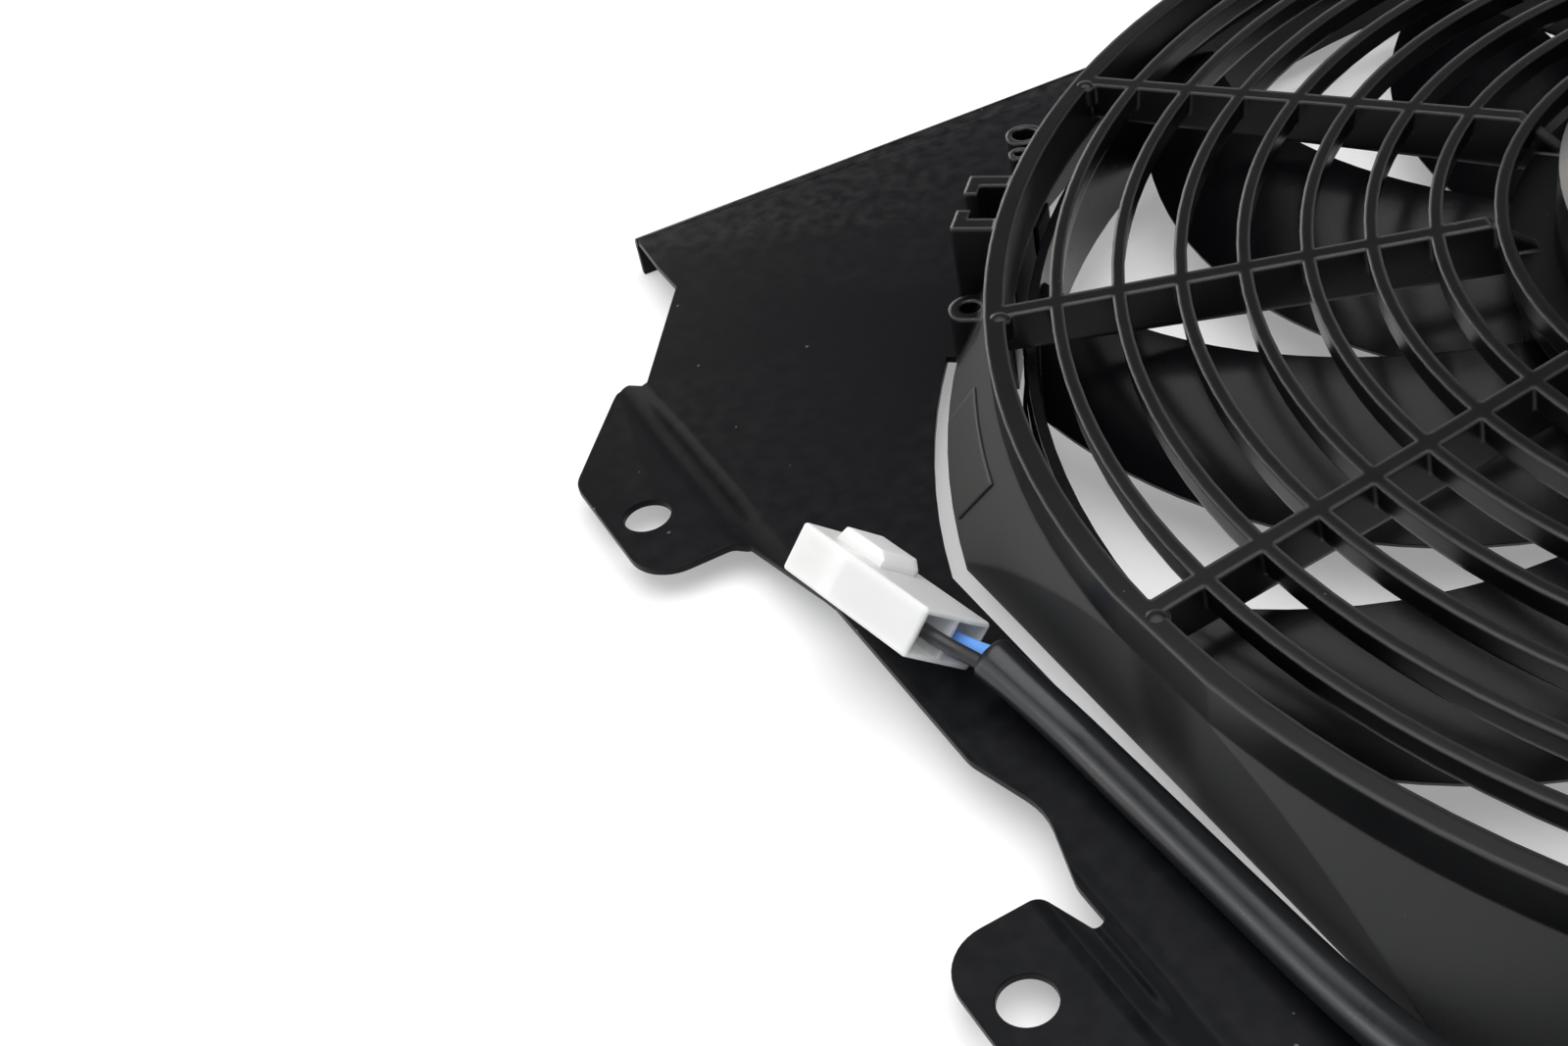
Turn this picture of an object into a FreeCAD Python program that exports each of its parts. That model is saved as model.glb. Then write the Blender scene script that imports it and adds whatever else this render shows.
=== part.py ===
import FreeCAD, Part
import math
import os
import Sketcher

# Radiator fan shroud: a bent sheet plate that carries an electric fan in a moulded frame.
# The fan axis is +Z through the origin, and the plate's flanges stand on z = 0.

os.makedirs("parts", exist_ok=True)
DOC = FreeCAD.newDocument("RadiatorFanShroud")
SUB_PARTS = []
SHEET = DOC.addObject("Spreadsheet::Sheet", "Sizes")

# Driving dimensions in millimetres and degrees.
SIZES = {
    # plate
    "plate_half_width": 227.3,
    "plate_half_height": 244.8,
    "top_corner_x": 201.7,
    "top_slope": 4.56,
    "plate_under": 10.0,
    "sheet_thickness": 2.0,
    "flange_bend": 3.0,
    "bottom_flange_half": 217.0,
    # tabs
    "tab_half_width": 255.6,
    "tab_drop": 3.0,
    "tab_bend_x": 232.3,
    "tab_hole_radius": 5.5,
    "tab_hole_x": 246.4,
    "tab_hole_y": 136.8,
    "tab_pitch": 161.0,
    "tab_corner": 10.5,
    "tab_tip_half": 21.5,
    "tab_tip_corner": 8.0,
    # opening of the plate and the ears that carry the fan
    "opening_radius": 215.8,
    "opening_gap": 3.5,
    "ear_inner_radius": 198.0,
    "ear_root": 5.0,
    "ear_corner": 3.0,
    "ear_half_width": 11.5,
    # moulded frame
    "frame_height": 36.0,
    "wall_inner_radius": 196.0,
    "wall_outer_radius": 200.5,
    "wall_straight": 10.0,
    "skirt_radius": 212.5,
    "skirt_wall": 2.6,
    "skirt_edge": 2.0,
    "frame_half_flat": 200.0,
    "lug_azimuth": 46.7,
    "lug_radius": 210.3,
    "lug_half_width": 11.0,
    "slot_half_width": 6.9,
    "slot_mouth_half": 3.45,
    "slot_lip": 3.2,
    "slot_floor": 8.0,
    "lug_drop": 0.5,
    "boss_angle": 5.4,
    "boss_centre_radius": 206.6,
    "boss_radius": 5.0,
    "boss_height": 20.0,
    "boss_bore": 2.5,
    "eye_drop": 2.0,
    "eye_sink": 0.6,
    "eye_radius": 4.4,
    "eye_bore": 3.0,
    "eye_height": 10.0,
    "eye_angle": 9.0,
    "small_eye_radius": 2.6,
    "small_eye_bore": 1.4,
    "small_eye_height": 6.0,
    "small_eye_angle": 6.6,
    # guard
    "ring_first_radius": 185.0,
    "ring_pitch": 13.1,
    "ring_count": 8,
    "ring_width": 2.8,
    "ring_foot": 1.6,
    "ring_depth": 5.5,
    "rib_width": 3.8,
    "rib_depth_rim": 9.0,
    "rib_kink_run": 10.0,
    "rib_offset": 20.0,
    "rib_count": 13,
    "rib_seat_gap": 3.5,
    "rib_sink": 2.0,
    "knuckle_radius": 2.6,
    "knuckle_height": 5.0,
    "knuckle_sink": 1.2,
    "knuckle_drop": 0.4,
    "mount_ring_width": 14.8,
    "mount_ring_drop": 8.0,
    "mount_ring_depth": 4.5,
    # motor
    "can_step": 6.5,
    "can_height": 18.0,
    "can_wall": 2.0,
    "can_edge": 2.2,
    "can_boss_height": 3.0,
    "can_boss_roof": 2.0,
    "motor_body_radius": 76.0,
    "motor_body_depth": 14.0,
    "motor_ring_gap": 1.0,
    "end_cap_thickness": 2.0,
    "cap_lip": 0.5,
    "motor_screw_radius": 1.6,
    "motor_screw_head": 2.7,
    "motor_screw_head_height": 2.4,
    "motor_screw_count": 3,
    "magnet_thickness": 8.0,
    "magnet_height": 11.0,
    "magnet_arc": 66.0,
    "magnet_count": 4,
    "lead_azimuth": 226.0,
    "lead_over_seat": 11.3,
    "grommet_collar": 3.0,
    "grommet_tail": 1.0,
    "lead_gap": 0.7,
    "grommet_collar_rim": 1.6,
    "grommet_neck_rim": 0.7,
    # shaft and bearings
    "shaft_radius": 4.0,
    "shaft_bottom": 2.5,
    "bearing_radius": 11.0,
    "bearing_width": 7.0,
    "bearing_wall": 2.5,
    "running_gap": 0.02,
    "fit_gap": 0.02,
    "glue_gap": 0.2,
    "bearing_rim": 2.0,
    "bearing_face_step": 0.5,
    "seat_lip": 2.5,
    "shaft_chamfer": 0.6,
    "shaft_end": 0.5,
    "washer_room": 1.5,
    "washer_gap": 0.2,
    # armature, commutator and brushes
    "air_gap": 0.8,
    "core_height": 7.0,
    "core_hub_radius": 25.0,
    "tooth_count": 12,
    "tooth_width": 8.0,
    "shoe_depth": 6.0,
    "shoe_arc": 23.0,
    "coil_thickness": 2.0,
    "commutator_radius": 14.0,
    "commutator_height": 6.5,
    "commutator_rim": 2.0,
    "commutator_rim_height": 0.8,
    "coil_inset": 6.0,
    "coil_clearance": 3.0,
    "brush_lift": 0.8,
    "brush_count": 4,
    "brush_azimuth": 45.0,
    "brush_width": 8.0,
    "brush_height": 4.4,
    "brush_length": 13.0,
    "brush_gap": 0.15,
    "brush_arc_gap": 0.1,
    "brush_wall": 1.0,
    "card_thickness": 1.6,
    "card_hole_radius": 17.0,
    "spring_radius": 1.9,
    "spring_length": 11.0,
    "spring_wall": 0.7,
    # rotor
    "hub_radius": 88.0,
    "hub_wall": 2.5,
    "hub_corner": 3.0,
    "hub_inner_corner": 2.0,
    "hub_floor": 2.5,
    "hub_under": 8.0,
    "hub_boss_radius": 12.0,
    "hub_boss_height": 13.0,
    "insert_radius": 8.0,
    "rotor_top_gap": 2.5,
    "rotor_ring_outer": 193.6,
    "rotor_ring_wall": 3.0,
    "rotor_ring_top": 36.0,
    "rotor_ring_under": 14.0,
    "rotor_ring_lip": 1.9,
    "rotor_ring_step": 0.8,
    "blade_count": 11,
    "blade_azimuth": 155.3,
    "blade_top": 33.0,
    "blade_under_tip": 17.0,
    "blade_under_root": 10.5,
    "blade_thickness": 2.4,
    "blade_edge_share": 0.5,
    "blade_camber": 0.08,
    "blade_stations": 6,
    "blade_overrun": 3.0,
    "blade_tip_angle": 9.3,
    "blade_root_angle": 24.5,
    "blade_sweep": 16.6,
    "hub_washer_rim": 1.5,
    "nut_corner": 7.5,
    "nut_height": 3.5,
    "washer_thickness": 1.0,
    # fasteners between the plate and the lugs
    "screw_radius": 2.0,
    "screw_head_radius": 4.0,
    "screw_head_height": 2.8,
    "screw_hole_radius": 2.3,
    "washer_rim": 0.8,
    "screw_bite": 6.5,
    "screw_bore_depth": 7.0,
    # lead and connector
    "sleeve_diameter": 8.6,
    "wire_diameter": 3.1,
    "wire_spacing": 3.4,
    "wire_in_sleeve": 1.5,
    "bend_share": 0.45,
    "guard_clearance": 0.3,
    "connector_length": 38.6,
    "connector_width": 20.2,
    "connector_height": 10.7,
    "connector_wall": 1.2,
    "connector_round": 0.8,
    "connector_heading": -79.75,
    "connector_lean": 45.6,
    "connector_edge_x": -222.2,
    "connector_edge_y": 84.1,
    "cavity_depth": 24.0,
    "socket_depth": 10.0,
    "latch_start": 5.6,
    "latch_length": 14.0,
    "latch_width": 11.2,
    "latch_height": 3.2,
    "latch_slope": 1.6,
    "latch_round": 0.5,
    "pin_length": 7.5,
    "pin_width": 6.3,
    "pin_thickness": 0.8,
    "crimp_length": 12.0,
    "crimp_size": 3.6,
}


class Length:
    """A size that knows its value and the sheet formula that gives it."""

    def __init__(self, formula, value):
        self.formula = formula
        self.value = value

    def joined(self, other, sign, value):
        return Length(f"({self.formula} {sign} {formula_of(other)})", value)

    def __add__(self, other):
        return self.joined(other, "+", self.value + value_of(other))

    def __sub__(self, other):
        return self.joined(other, "-", self.value - value_of(other))

    def __mul__(self, other):
        return self.joined(other, "*", self.value * value_of(other))

    def __truediv__(self, other):
        return self.joined(other, "/", self.value / value_of(other))


def formula_of(size):
    return size.formula if isinstance(size, Length) else repr(size)


def value_of(size):
    return size.value if isinstance(size, Length) else size


class Bound:
    """The sheet's sizes as Length objects, for everything that is bound to a cell."""


class Plain:
    """The sheet's sizes as numbers, for shapes that are computed."""


for row, (alias, number) in enumerate(SIZES.items(), start=1):
    SHEET.set(f"A{row}", alias)
    SHEET.set(f"B{row}", str(number))
    SHEET.setAlias(f"B{row}", alias)
DOC.recompute()
for alias in SIZES:
    cell = float(SHEET.get(alias))
    setattr(Plain, alias, cell)
    setattr(Bound, alias, Length(f"Sizes.{alias}", cell))

S = Bound
V = Plain

# Sizes that several pieces share, worked out from the table.
PLATE_TOP = S.plate_under + S.sheet_thickness
GUARD_TOP = PLATE_TOP + S.frame_height
MOTOR_SEAT = GUARD_TOP - S.mount_ring_drop
CAN_RADIUS = S.motor_body_radius + S.can_step
CAN_TOP = MOTOR_SEAT + S.can_height
CAN_BOSS_TOP = CAN_TOP + S.can_boss_height
MOTOR_UNDER = MOTOR_SEAT - S.motor_body_depth
CAP_UNDER = MOTOR_UNDER - S.end_cap_thickness
FRONT_BEARING = CAP_UNDER + S.cap_lip
REAR_BEARING = CAN_TOP - S.bearing_width
LEAD_HEIGHT = MOTOR_SEAT + S.lead_over_seat
RING_UNDER = MOTOR_SEAT - S.mount_ring_depth
RING_BORE = S.motor_body_radius + S.motor_ring_gap
RING_OUTER = RING_BORE + S.mount_ring_width
SCREW_CIRCLE = S.motor_body_radius + S.can_step / 2
RIB_LOW = CAN_RADIUS + S.rib_seat_gap
RIB_KINK = RIB_LOW + S.rib_kink_run
HUB_TOP = RING_UNDER - S.rotor_top_gap
SEAT_RADIUS = S.bearing_radius + S.fit_gap
BEARING_BOSS = S.bearing_radius + S.bearing_wall
BORE = S.shaft_radius + S.running_gap
SHAFT_FIT = S.shaft_radius + S.fit_gap
CORE_UNDER = MOTOR_SEAT + S.can_wall
CORE_RADIUS = CAN_RADIUS - S.can_wall - S.glue_gap - S.magnet_thickness - S.air_gap
CARD_TOP = MOTOR_UNDER + S.card_thickness
COMMUTATOR_UNDER = FRONT_BEARING + S.bearing_width + S.washer_room
BRUSH_UNDER = COMMUTATOR_UNDER + S.brush_lift
SLOT_START = S.wall_outer_radius
SLOT_END = S.lug_radius - S.slot_lip
LUG_SCREW_RADIUS = (SLOT_START + SLOT_END) / 2

GROMMET_NECK = S.sleeve_diameter / 2 + S.grommet_neck_rim
GROMMET_COLLAR = S.sleeve_diameter / 2 + S.grommet_collar_rim

# How far a cutter reaches past the piece that it cuts.
OVER = 1.0


# Tools for shapes.

def vec(x, y, z=0.0):
    return FreeCAD.Vector(x, y, z)


def polar(radius, azimuth, z=0.0):
    angle = math.radians(azimuth)
    return vec(radius * math.cos(angle), radius * math.sin(angle), z)


def disc(radius, low, high):
    """A solid disc on the fan axis."""
    return Part.makeCylinder(radius, high - low, vec(0, 0, low))


def tube(outer, inner, low, high):
    return disc(outer, low, high).cut(disc(inner, low - OVER, high + OVER))


def block(x0, x1, y0, y1, z0, z1):
    return Part.makeBox(x1 - x0, y1 - y0, z1 - z0, vec(x0, y0, z0))


def turned_by(shape, azimuth):
    copy = shape.copy()
    copy.rotate(vec(0, 0, 0), vec(0, 0, 1), azimuth)
    return copy


def fused(shapes):
    return shapes[0].multiFuse(shapes[1:]).removeSplitter()


def outline_prism(corners, low, high):
    """A prism on a closed outline of (x, y, corner radius), with the corners rounded by arcs."""
    count = len(corners)
    arcs = []
    for i, (x, y, radius) in enumerate(corners):
        here = vec(x, y, low)
        before = vec(corners[i - 1][0], corners[i - 1][1], low) - here
        after = vec(corners[(i + 1) % count][0], corners[(i + 1) % count][1], low) - here
        half_turn = (math.pi - before.getAngle(after)) / 2
        reach = radius * math.tan(half_turn)
        before.normalize()
        after.normalize()
        inward = before + after
        inward.normalize()
        middle = here + inward * (radius / math.cos(half_turn) - radius)
        arcs.append((here + before * reach, middle, here + after * reach, radius))
    edges = []
    for i, (start, middle, end, radius) in enumerate(arcs):
        if radius > 0:
            edges.append(Part.Arc(start, middle, end).toShape())
        following = arcs[(i + 1) % count][0]
        if end.distanceToPoint(following) > 1e-6:
            edges.append(Part.LineSegment(end, following).toShape())
    return Part.Face(Part.Wire(edges)).extrude(vec(0, 0, high - low))


def side_prism(points, half_width):
    """A prism whose outline lies in the XZ plane, spread evenly to both sides of it."""
    corners = [vec(x, -half_width, z) for x, z in points]
    return Part.Face(Part.makePolygon(corners + corners[:1])).extrude(vec(0, 2 * half_width, 0))


def feature(name, shape, placement=None):
    """A sub-part whose shape is computed from the sheet's sizes."""
    piece = DOC.addObject("Part::Feature", name)
    piece.Shape = shape
    if placement:
        piece.Placement = placement
    return sub_part(piece, name)


def origin_plane(body, role):
    return [item for item in body.Origin.OriginFeatures if item.Role == role][0]


def bound_sketch(body, name, role, loops):
    """A sketch of closed loops whose corners are (size, size) pairs bound to the sheet."""
    sketch = body.newObject("Sketcher::SketchObject", name)
    sketch.AttachmentSupport = [(origin_plane(body, role), "")]
    sketch.MapMode = "FlatFace"
    for corners in loops:
        first = sketch.GeometryCount
        count = len(corners)
        for i in range(count):
            start = vec(value_of(corners[i][0]), value_of(corners[i][1]))
            end = vec(value_of(corners[(i + 1) % count][0]), value_of(corners[(i + 1) % count][1]))
            sketch.addGeometry(Part.LineSegment(start, end))
        for i in range(count):
            previous = first + (i - 1) % count
            sketch.addConstraint(Sketcher.Constraint("Coincident", previous, 2, first + i, 1))
        for i, corner in enumerate(corners):
            for kind, size in zip(("DistanceX", "DistanceY"), corner):
                index = sketch.addConstraint(
                    Sketcher.Constraint(kind, -1, 1, first + i, 1, value_of(size)))
                sketch.setExpression(f"Constraints[{index}]", formula_of(size))
    return sketch


def turned_body(name, *loops):
    """A body of revolution about the fan axis, from closed loops of (radius, height)."""
    body = DOC.addObject("PartDesign::Body", name)
    sketch = bound_sketch(body, name + "_profile", "XZ_Plane", loops)
    turn = body.newObject("PartDesign::Revolution", name + "_turn")
    turn.Profile = sketch
    turn.ReferenceAxis = (sketch, ["V_Axis"])
    turn.Angle = 360
    return body


def cylinder(name, radius, height, place, way=None):
    """A cylinder with its radius and height bound to the sheet, from a place along a way."""
    item = DOC.addObject("Part::Cylinder", name)
    item.setExpression("Radius", formula_of(radius))
    item.setExpression("Height", formula_of(height))
    item.Placement = FreeCAD.Placement(place, FreeCAD.Rotation(vec(0, 0, 1), way or vec(0, 0, 1)))
    return item


def hexagon(name, corner_radius, height, place):
    """A hexagonal prism with its size bound to the sheet."""
    item = DOC.addObject("Part::Prism", name)
    item.Polygon = 6
    item.setExpression("Circumradius", formula_of(corner_radius))
    item.setExpression("Height", formula_of(height))
    item.Placement.Base = place
    return item


def joined(name, items):
    result = DOC.addObject("Part::MultiFuse", name)
    result.Shapes = items
    return result


def less(name, base, tools):
    """One object less some others."""
    result = DOC.addObject("Part::Cut", name)
    result.Base = base
    result.Tool = tools[0] if len(tools) == 1 else joined(name + "_cutters", tools)
    return result


def group(name, items):
    """Separate solids of one kind in one sub-part."""
    result = DOC.addObject("Part::Compound", name)
    result.Links = items
    return result


def sub_part(item, label):
    """Marks an object of the document as a sub-part with a file of its own."""
    item.Label = label
    SUB_PARTS.append(item)
    return item


# Plate.

def tab_side(hole, sign):
    """Corners from the plate's edge out round a tab's slanted side and tip, going away from its hole."""
    edge = -V.plate_half_width
    return [
        (-V.tab_half_width, hole + sign * V.tab_tip_half, V.tab_tip_corner),
        (-V.tab_bend_x - 3.0, hole + sign * 46.0, 5.0),
        (edge - 4.0, hole + sign * 50.3, 2.6),
        (edge, hole + sign * 42.0, 1.0),
    ]


def plate_left_outline():
    """The plate's left edge from the sloping top down to the bottom."""
    edge = -V.plate_half_width
    outer = -V.tab_half_width
    bend = -V.tab_bend_x
    upper = V.tab_hole_y
    middle = upper - V.tab_pitch
    lower = middle - V.tab_pitch
    top = V.plate_half_height - V.flange_bend
    points = [(-V.top_corner_x, top, 0.0), (-V.top_corner_x - 1.1, top - 15.8, 2.0)]
    points += [(-V.top_corner_x - 1.3, upper + 76.7, 2.0)]
    points += tab_side(upper, 1)[::-1]
    points += [(outer, upper - 20.8, V.tab_corner), (bend - 3.0, upper - 21.8, 3.0)]
    points += [(bend, upper - 25.0, 2.0), (edge, upper - 56.8, 2.0)]
    points += [(edge, middle + 50.2, 10.0), (edge + 5.2, middle + 31.7, 17.0), (edge, middle + 13.7, 10.0)]
    points += [(edge, middle + 4.2, 1.0), (edge - 2.2, middle + 4.5, 1.4), (bend - 0.4, middle + 17.6, 3.0)]
    points += [(outer, middle + 17.6, V.tab_corner)]
    points += tab_side(middle, -1)
    points += [(edge, lower + 56.8, 2.0), (bend, lower + 25.0, 2.0), (bend - 3.0, lower + 21.8, 3.0)]
    points += [(outer, lower + 20.8, V.tab_corner)]
    points += tab_side(lower, -1)
    points += [(-V.bottom_flange_half, -top, 2.0)]
    return points


def top_edge_y(x):
    """The plan height of the sloping top edge's outer face."""
    return V.plate_half_height - (x + V.top_corner_x) * math.tan(math.radians(V.top_slope))


def plate_sheet():
    """The flat plate with its tabs joggled down, as one bent sheet trimmed to the outline."""
    left = plate_left_outline()
    right_top = top_edge_y(V.top_corner_x) - V.flange_bend
    right = []
    for x, y, radius in left[2:]:
        right.append((-x, y, radius))
    right[0] = (V.top_corner_x + 1.3, right_top, 0.0)
    low = V.plate_under
    high = low + V.sheet_thickness
    edge = V.plate_half_width
    bend = V.tab_bend_x
    outer = V.tab_half_width + 5
    section = [(-outer, high - V.tab_drop), (-bend, high - V.tab_drop), (-edge, high), (edge, high)]
    section += [(bend, high - V.tab_drop), (outer, high - V.tab_drop), (outer, low - V.tab_drop)]
    section += [(bend + 0.5, low - V.tab_drop), (edge + 0.5, low), (-edge - 0.5, low)]
    section += [(-bend - 0.5, low - V.tab_drop), (-outer, low - V.tab_drop)]
    sheet = side_prism(section, V.plate_half_height + 5)
    return sheet.common(outline_prism(left + right[::-1], 0, high + 1))


def flange(start_x, start_y, end_x, end_y):
    """A turned-down flange with a rounded bend, its outer face on the line between two points."""
    bend = V.flange_bend
    wall = V.sheet_thickness
    high = V.plate_under + wall
    length = math.hypot(end_x - start_x, end_y - start_y)
    inner = bend - wall
    diagonal = math.sqrt(0.5)
    outer_middle = vec(0, bend * (1 - diagonal), high - bend * (1 - diagonal))
    inner_middle = vec(0, bend - inner * diagonal, high - bend + inner * diagonal)
    outer_arc = Part.Arc(vec(0, 0, high - bend), outer_middle, vec(0, bend, high))
    inner_arc = Part.Arc(vec(0, bend, high - wall), inner_middle, vec(0, wall, high - bend))
    lines = [(vec(0, bend, high), vec(0, bend, high - wall)), (vec(0, wall, high - bend), vec(0, wall, 0))]
    lines += [(vec(0, wall, 0), vec(0, 0, 0)), (vec(0, 0, 0), vec(0, 0, high - bend))]
    edges = [outer_arc.toShape(), Part.LineSegment(*lines[0]).toShape(), inner_arc.toShape()]
    edges += [Part.LineSegment(*line).toShape() for line in lines[1:]]
    bar = Part.Face(Part.Wire(Part.__sortEdges__(edges))).extrude(vec(length, 0, 0))
    bar.rotate(vec(0, 0, 0), vec(0, 0, 1), math.degrees(math.atan2(end_y - start_y, end_x - start_x)))
    bar.translate(vec(start_x, start_y, 0))
    return bar


def opening_cutter():
    """The hole for the frame: a circle with four flats, less the four ears under the lugs."""
    low = V.plate_under - OVER
    high = PLATE_TOP.value + OVER
    half = V.frame_half_flat + V.opening_gap
    hole = disc(V.opening_radius, low, high).common(block(-half, half, -half, half, low, high))
    reach = V.opening_radius + V.ear_root
    inner = V.ear_inner_radius
    spread = V.ear_half_width
    corners = [(inner, -spread, V.ear_corner), (reach, -spread, 0.0)]
    corners += [(reach, spread, 0.0), (inner, spread, V.ear_corner)]
    ear = outline_prism(corners, low - OVER, high + OVER)
    for quarter in range(4):
        hole = hole.cut(turned_by(ear, V.lug_azimuth + 90 * quarter))
    return hole


def lug_places():
    """The four places under the middles of the lugs' slots."""
    return [polar(LUG_SCREW_RADIUS.value, V.lug_azimuth + 90 * quarter) for quarter in range(4)]


def tab_holes():
    holes = []
    for side in (-1, 1):
        for step in range(3):
            holes.append((side * V.tab_hole_x, V.tab_hole_y - step * V.tab_pitch))
    return holes


def make_plate():
    top_left = top_edge_y(-V.top_corner_x)
    top_right = top_edge_y(V.top_corner_x)
    bottom = -V.plate_half_height
    half = V.bottom_flange_half
    deep = PLATE_TOP.value + 2 * OVER
    down = vec(0, 0, -OVER)
    sheet = plate_sheet().cut(opening_cutter())
    for x, y in tab_holes():
        sheet = sheet.cut(Part.makeCylinder(V.tab_hole_radius, deep, vec(x, y) + down))
    for place in lug_places():
        sheet = sheet.cut(Part.makeCylinder(V.screw_hole_radius, deep, place + down))
    top_flange = flange(V.top_corner_x, top_right, -V.top_corner_x, top_left)
    bottom_flange = flange(-half, bottom, half, bottom)
    feature("shroud_plate", fused([sheet, top_flange, bottom_flange]))


# Moulded frame with its guard.

def skirt(offset, low, high):
    """The frame's outer form, moved inwards by offset: a straight wall that flares to the skirt's edge."""
    straight = GUARD_TOP.value - V.wall_straight
    edge_top = low + V.skirt_edge
    wall = V.wall_outer_radius - offset
    wide = V.skirt_radius - offset
    half = V.frame_half_flat - offset
    profile = [(0, low), (wide, low), (wide, edge_top), (wall, straight), (wall, high), (0, high)]
    corners = [vec(radius, 0, z) for radius, z in profile]
    form = Part.Face(Part.makePolygon(corners + corners[:1])).revolve(vec(0, 0, 0), vec(0, 0, 1), 360)
    return form.common(block(-half, half, -half, half, low, high))


def lug():
    """One T-slot lug on the +X side: two walls with lips, on a floor with a blind bore under it."""
    low = PLATE_TOP.value
    high = GUARD_TOP.value - V.lug_drop
    body = block(V.wall_inner_radius + OVER, V.lug_radius, -V.lug_half_width, V.lug_half_width, low, high)
    floor = low + V.slot_floor
    slot = block(SLOT_START.value, SLOT_END.value, -V.slot_half_width, V.slot_half_width, floor, high + OVER)
    mouth = block(SLOT_END.value - OVER, V.lug_radius + OVER, -V.slot_mouth_half, V.slot_mouth_half,
                  floor, high + OVER)
    bore_place = vec(LUG_SCREW_RADIUS.value, 0, low - OVER)
    bore = Part.makeCylinder(V.screw_radius + V.fit_gap, V.screw_bore_depth + OVER, bore_place)
    return body, slot.multiFuse([mouth, bore])


def screw_boss():
    """A screw boss on the +X side, webbed back to the wall."""
    low = PLATE_TOP.value
    high = low + V.boss_height
    centre = V.boss_centre_radius
    post = Part.makeCylinder(V.boss_radius, V.boss_height, vec(centre, 0, low))
    web = block(V.wall_inner_radius + OVER, centre, -V.boss_radius, V.boss_radius, low, high)
    bore = Part.makeCylinder(V.boss_bore, V.boss_height + 2 * OVER, vec(centre, 0, low - OVER))
    return post.fuse(web), bore


def loom_eye(radius, bore, height, azimuth):
    """A small upright eye on the wall beside a lug."""
    low = GUARD_TOP.value - V.eye_drop - height
    middle = V.wall_outer_radius + radius - V.eye_sink
    eye = Part.makeCylinder(radius, height, vec(middle, 0, low))
    eye = eye.cut(Part.makeCylinder(bore, height + 2 * OVER, vec(middle, 0, low - OVER)))
    return turned_by(eye, azimuth)


def guard_ring(radius):
    high = GUARD_TOP.value
    low = high - V.ring_depth
    top = V.ring_width / 2
    foot = V.ring_foot / 2
    corners = [vec(radius - top, 0, high), vec(radius + top, 0, high)]
    corners += [vec(radius + foot, 0, low), vec(radius - foot, 0, low)]
    return Part.Face(Part.makePolygon(corners + corners[:1])).revolve(vec(0, 0, 0), vec(0, 0, 1), 360)


def rib_lines():
    """(direction, sideways offset) of each rib: three are spaced by hand, the rest evenly."""
    lines = [(125.24, 14.5), (156.07, 23.0), (184.6, 22.0)]
    even = int(V.rib_count) - len(lines)
    pitch = (360 + lines[0][0] - lines[-1][0]) / (even + 1)
    for step in range(1, even + 1):
        lines.append((184.6 + pitch * step, V.rib_offset))
    return lines


def rib(direction, offset):
    """A rib from the wall to the motor's ring, whose top drops near the ring."""
    def along(radius):
        return math.sqrt(radius ** 2 - offset ** 2)

    high = GUARD_TOP.value
    seat = MOTOR_SEAT.value
    under = RING_UNDER.value
    start = along(V.wall_inner_radius + V.rib_sink)
    kink = along(RIB_KINK.value)
    end = along(RING_BORE.value + V.rib_sink)
    points = [(start, high), (kink, high), (along(RIB_LOW.value), seat), (end, seat)]
    points += [(end, under), (kink, under), (start, high - V.rib_depth_rim)]
    bar = side_prism(points, V.rib_width / 2)
    bar.translate(vec(0, -offset, 0))
    return turned_by(bar, direction)


def knuckle(direction, offset):
    """The round bead beside a rib where it runs into the wall."""
    radius = V.wall_inner_radius + V.knuckle_sink
    aside = V.rib_width / 2 - offset
    low = GUARD_TOP.value - V.knuckle_height
    place = vec(math.sqrt(radius ** 2 - aside ** 2), aside, low)
    bead = Part.makeCylinder(V.knuckle_radius, V.knuckle_height - V.knuckle_drop, place)
    return turned_by(bead, direction)


def make_frame():
    low = PLATE_TOP.value
    high = GUARD_TOP.value
    inner_flare = skirt(V.skirt_wall, low - V.skirt_wall, high - V.wall_straight - V.skirt_wall)
    pieces = [skirt(0, low, high).cut(inner_flare)]
    cutters = [disc(V.wall_inner_radius, low - OVER, high + OVER)]
    body, slot = lug()
    post, bore = screw_boss()
    for quarter in range(4):
        azimuth = V.lug_azimuth + 90 * quarter
        pieces.append(turned_by(body, azimuth))
        cutters.append(turned_by(slot, azimuth))
        pieces.append(loom_eye(V.eye_radius, V.eye_bore, V.eye_height, azimuth - V.eye_angle))
        pieces.append(loom_eye(V.small_eye_radius, V.small_eye_bore, V.small_eye_height,
                               azimuth - V.small_eye_angle))
        for side in (-1, 1):
            pieces.append(turned_by(post, azimuth + side * V.boss_angle))
            cutters.append(turned_by(bore, azimuth + side * V.boss_angle))
    shell = fused(pieces).cut(cutters[0].multiFuse(cutters[1:]))
    guard = [tube(RING_OUTER.value, RING_BORE.value, RING_UNDER.value, MOTOR_SEAT.value)]
    for step in range(int(V.ring_count)):
        guard.append(guard_ring(V.ring_first_radius - step * V.ring_pitch))
    for direction, offset in rib_lines():
        guard.append(rib(direction, offset))
        guard.append(knuckle(direction, offset))
    frame = fused([shell] + guard)
    depth = V.mount_ring_depth + 2 * OVER
    for azimuth in motor_screw_places():
        place = polar(SCREW_CIRCLE.value, azimuth, RING_UNDER.value - OVER)
        frame = frame.cut(Part.makeCylinder(V.motor_screw_radius + V.running_gap, depth, place))
    feature("fan_frame", frame)


def motor_screw_places():
    count = int(V.motor_screw_count)
    return [V.lead_azimuth + 180 / count + 360 / count * step for step in range(count)]


# Motor.

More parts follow.
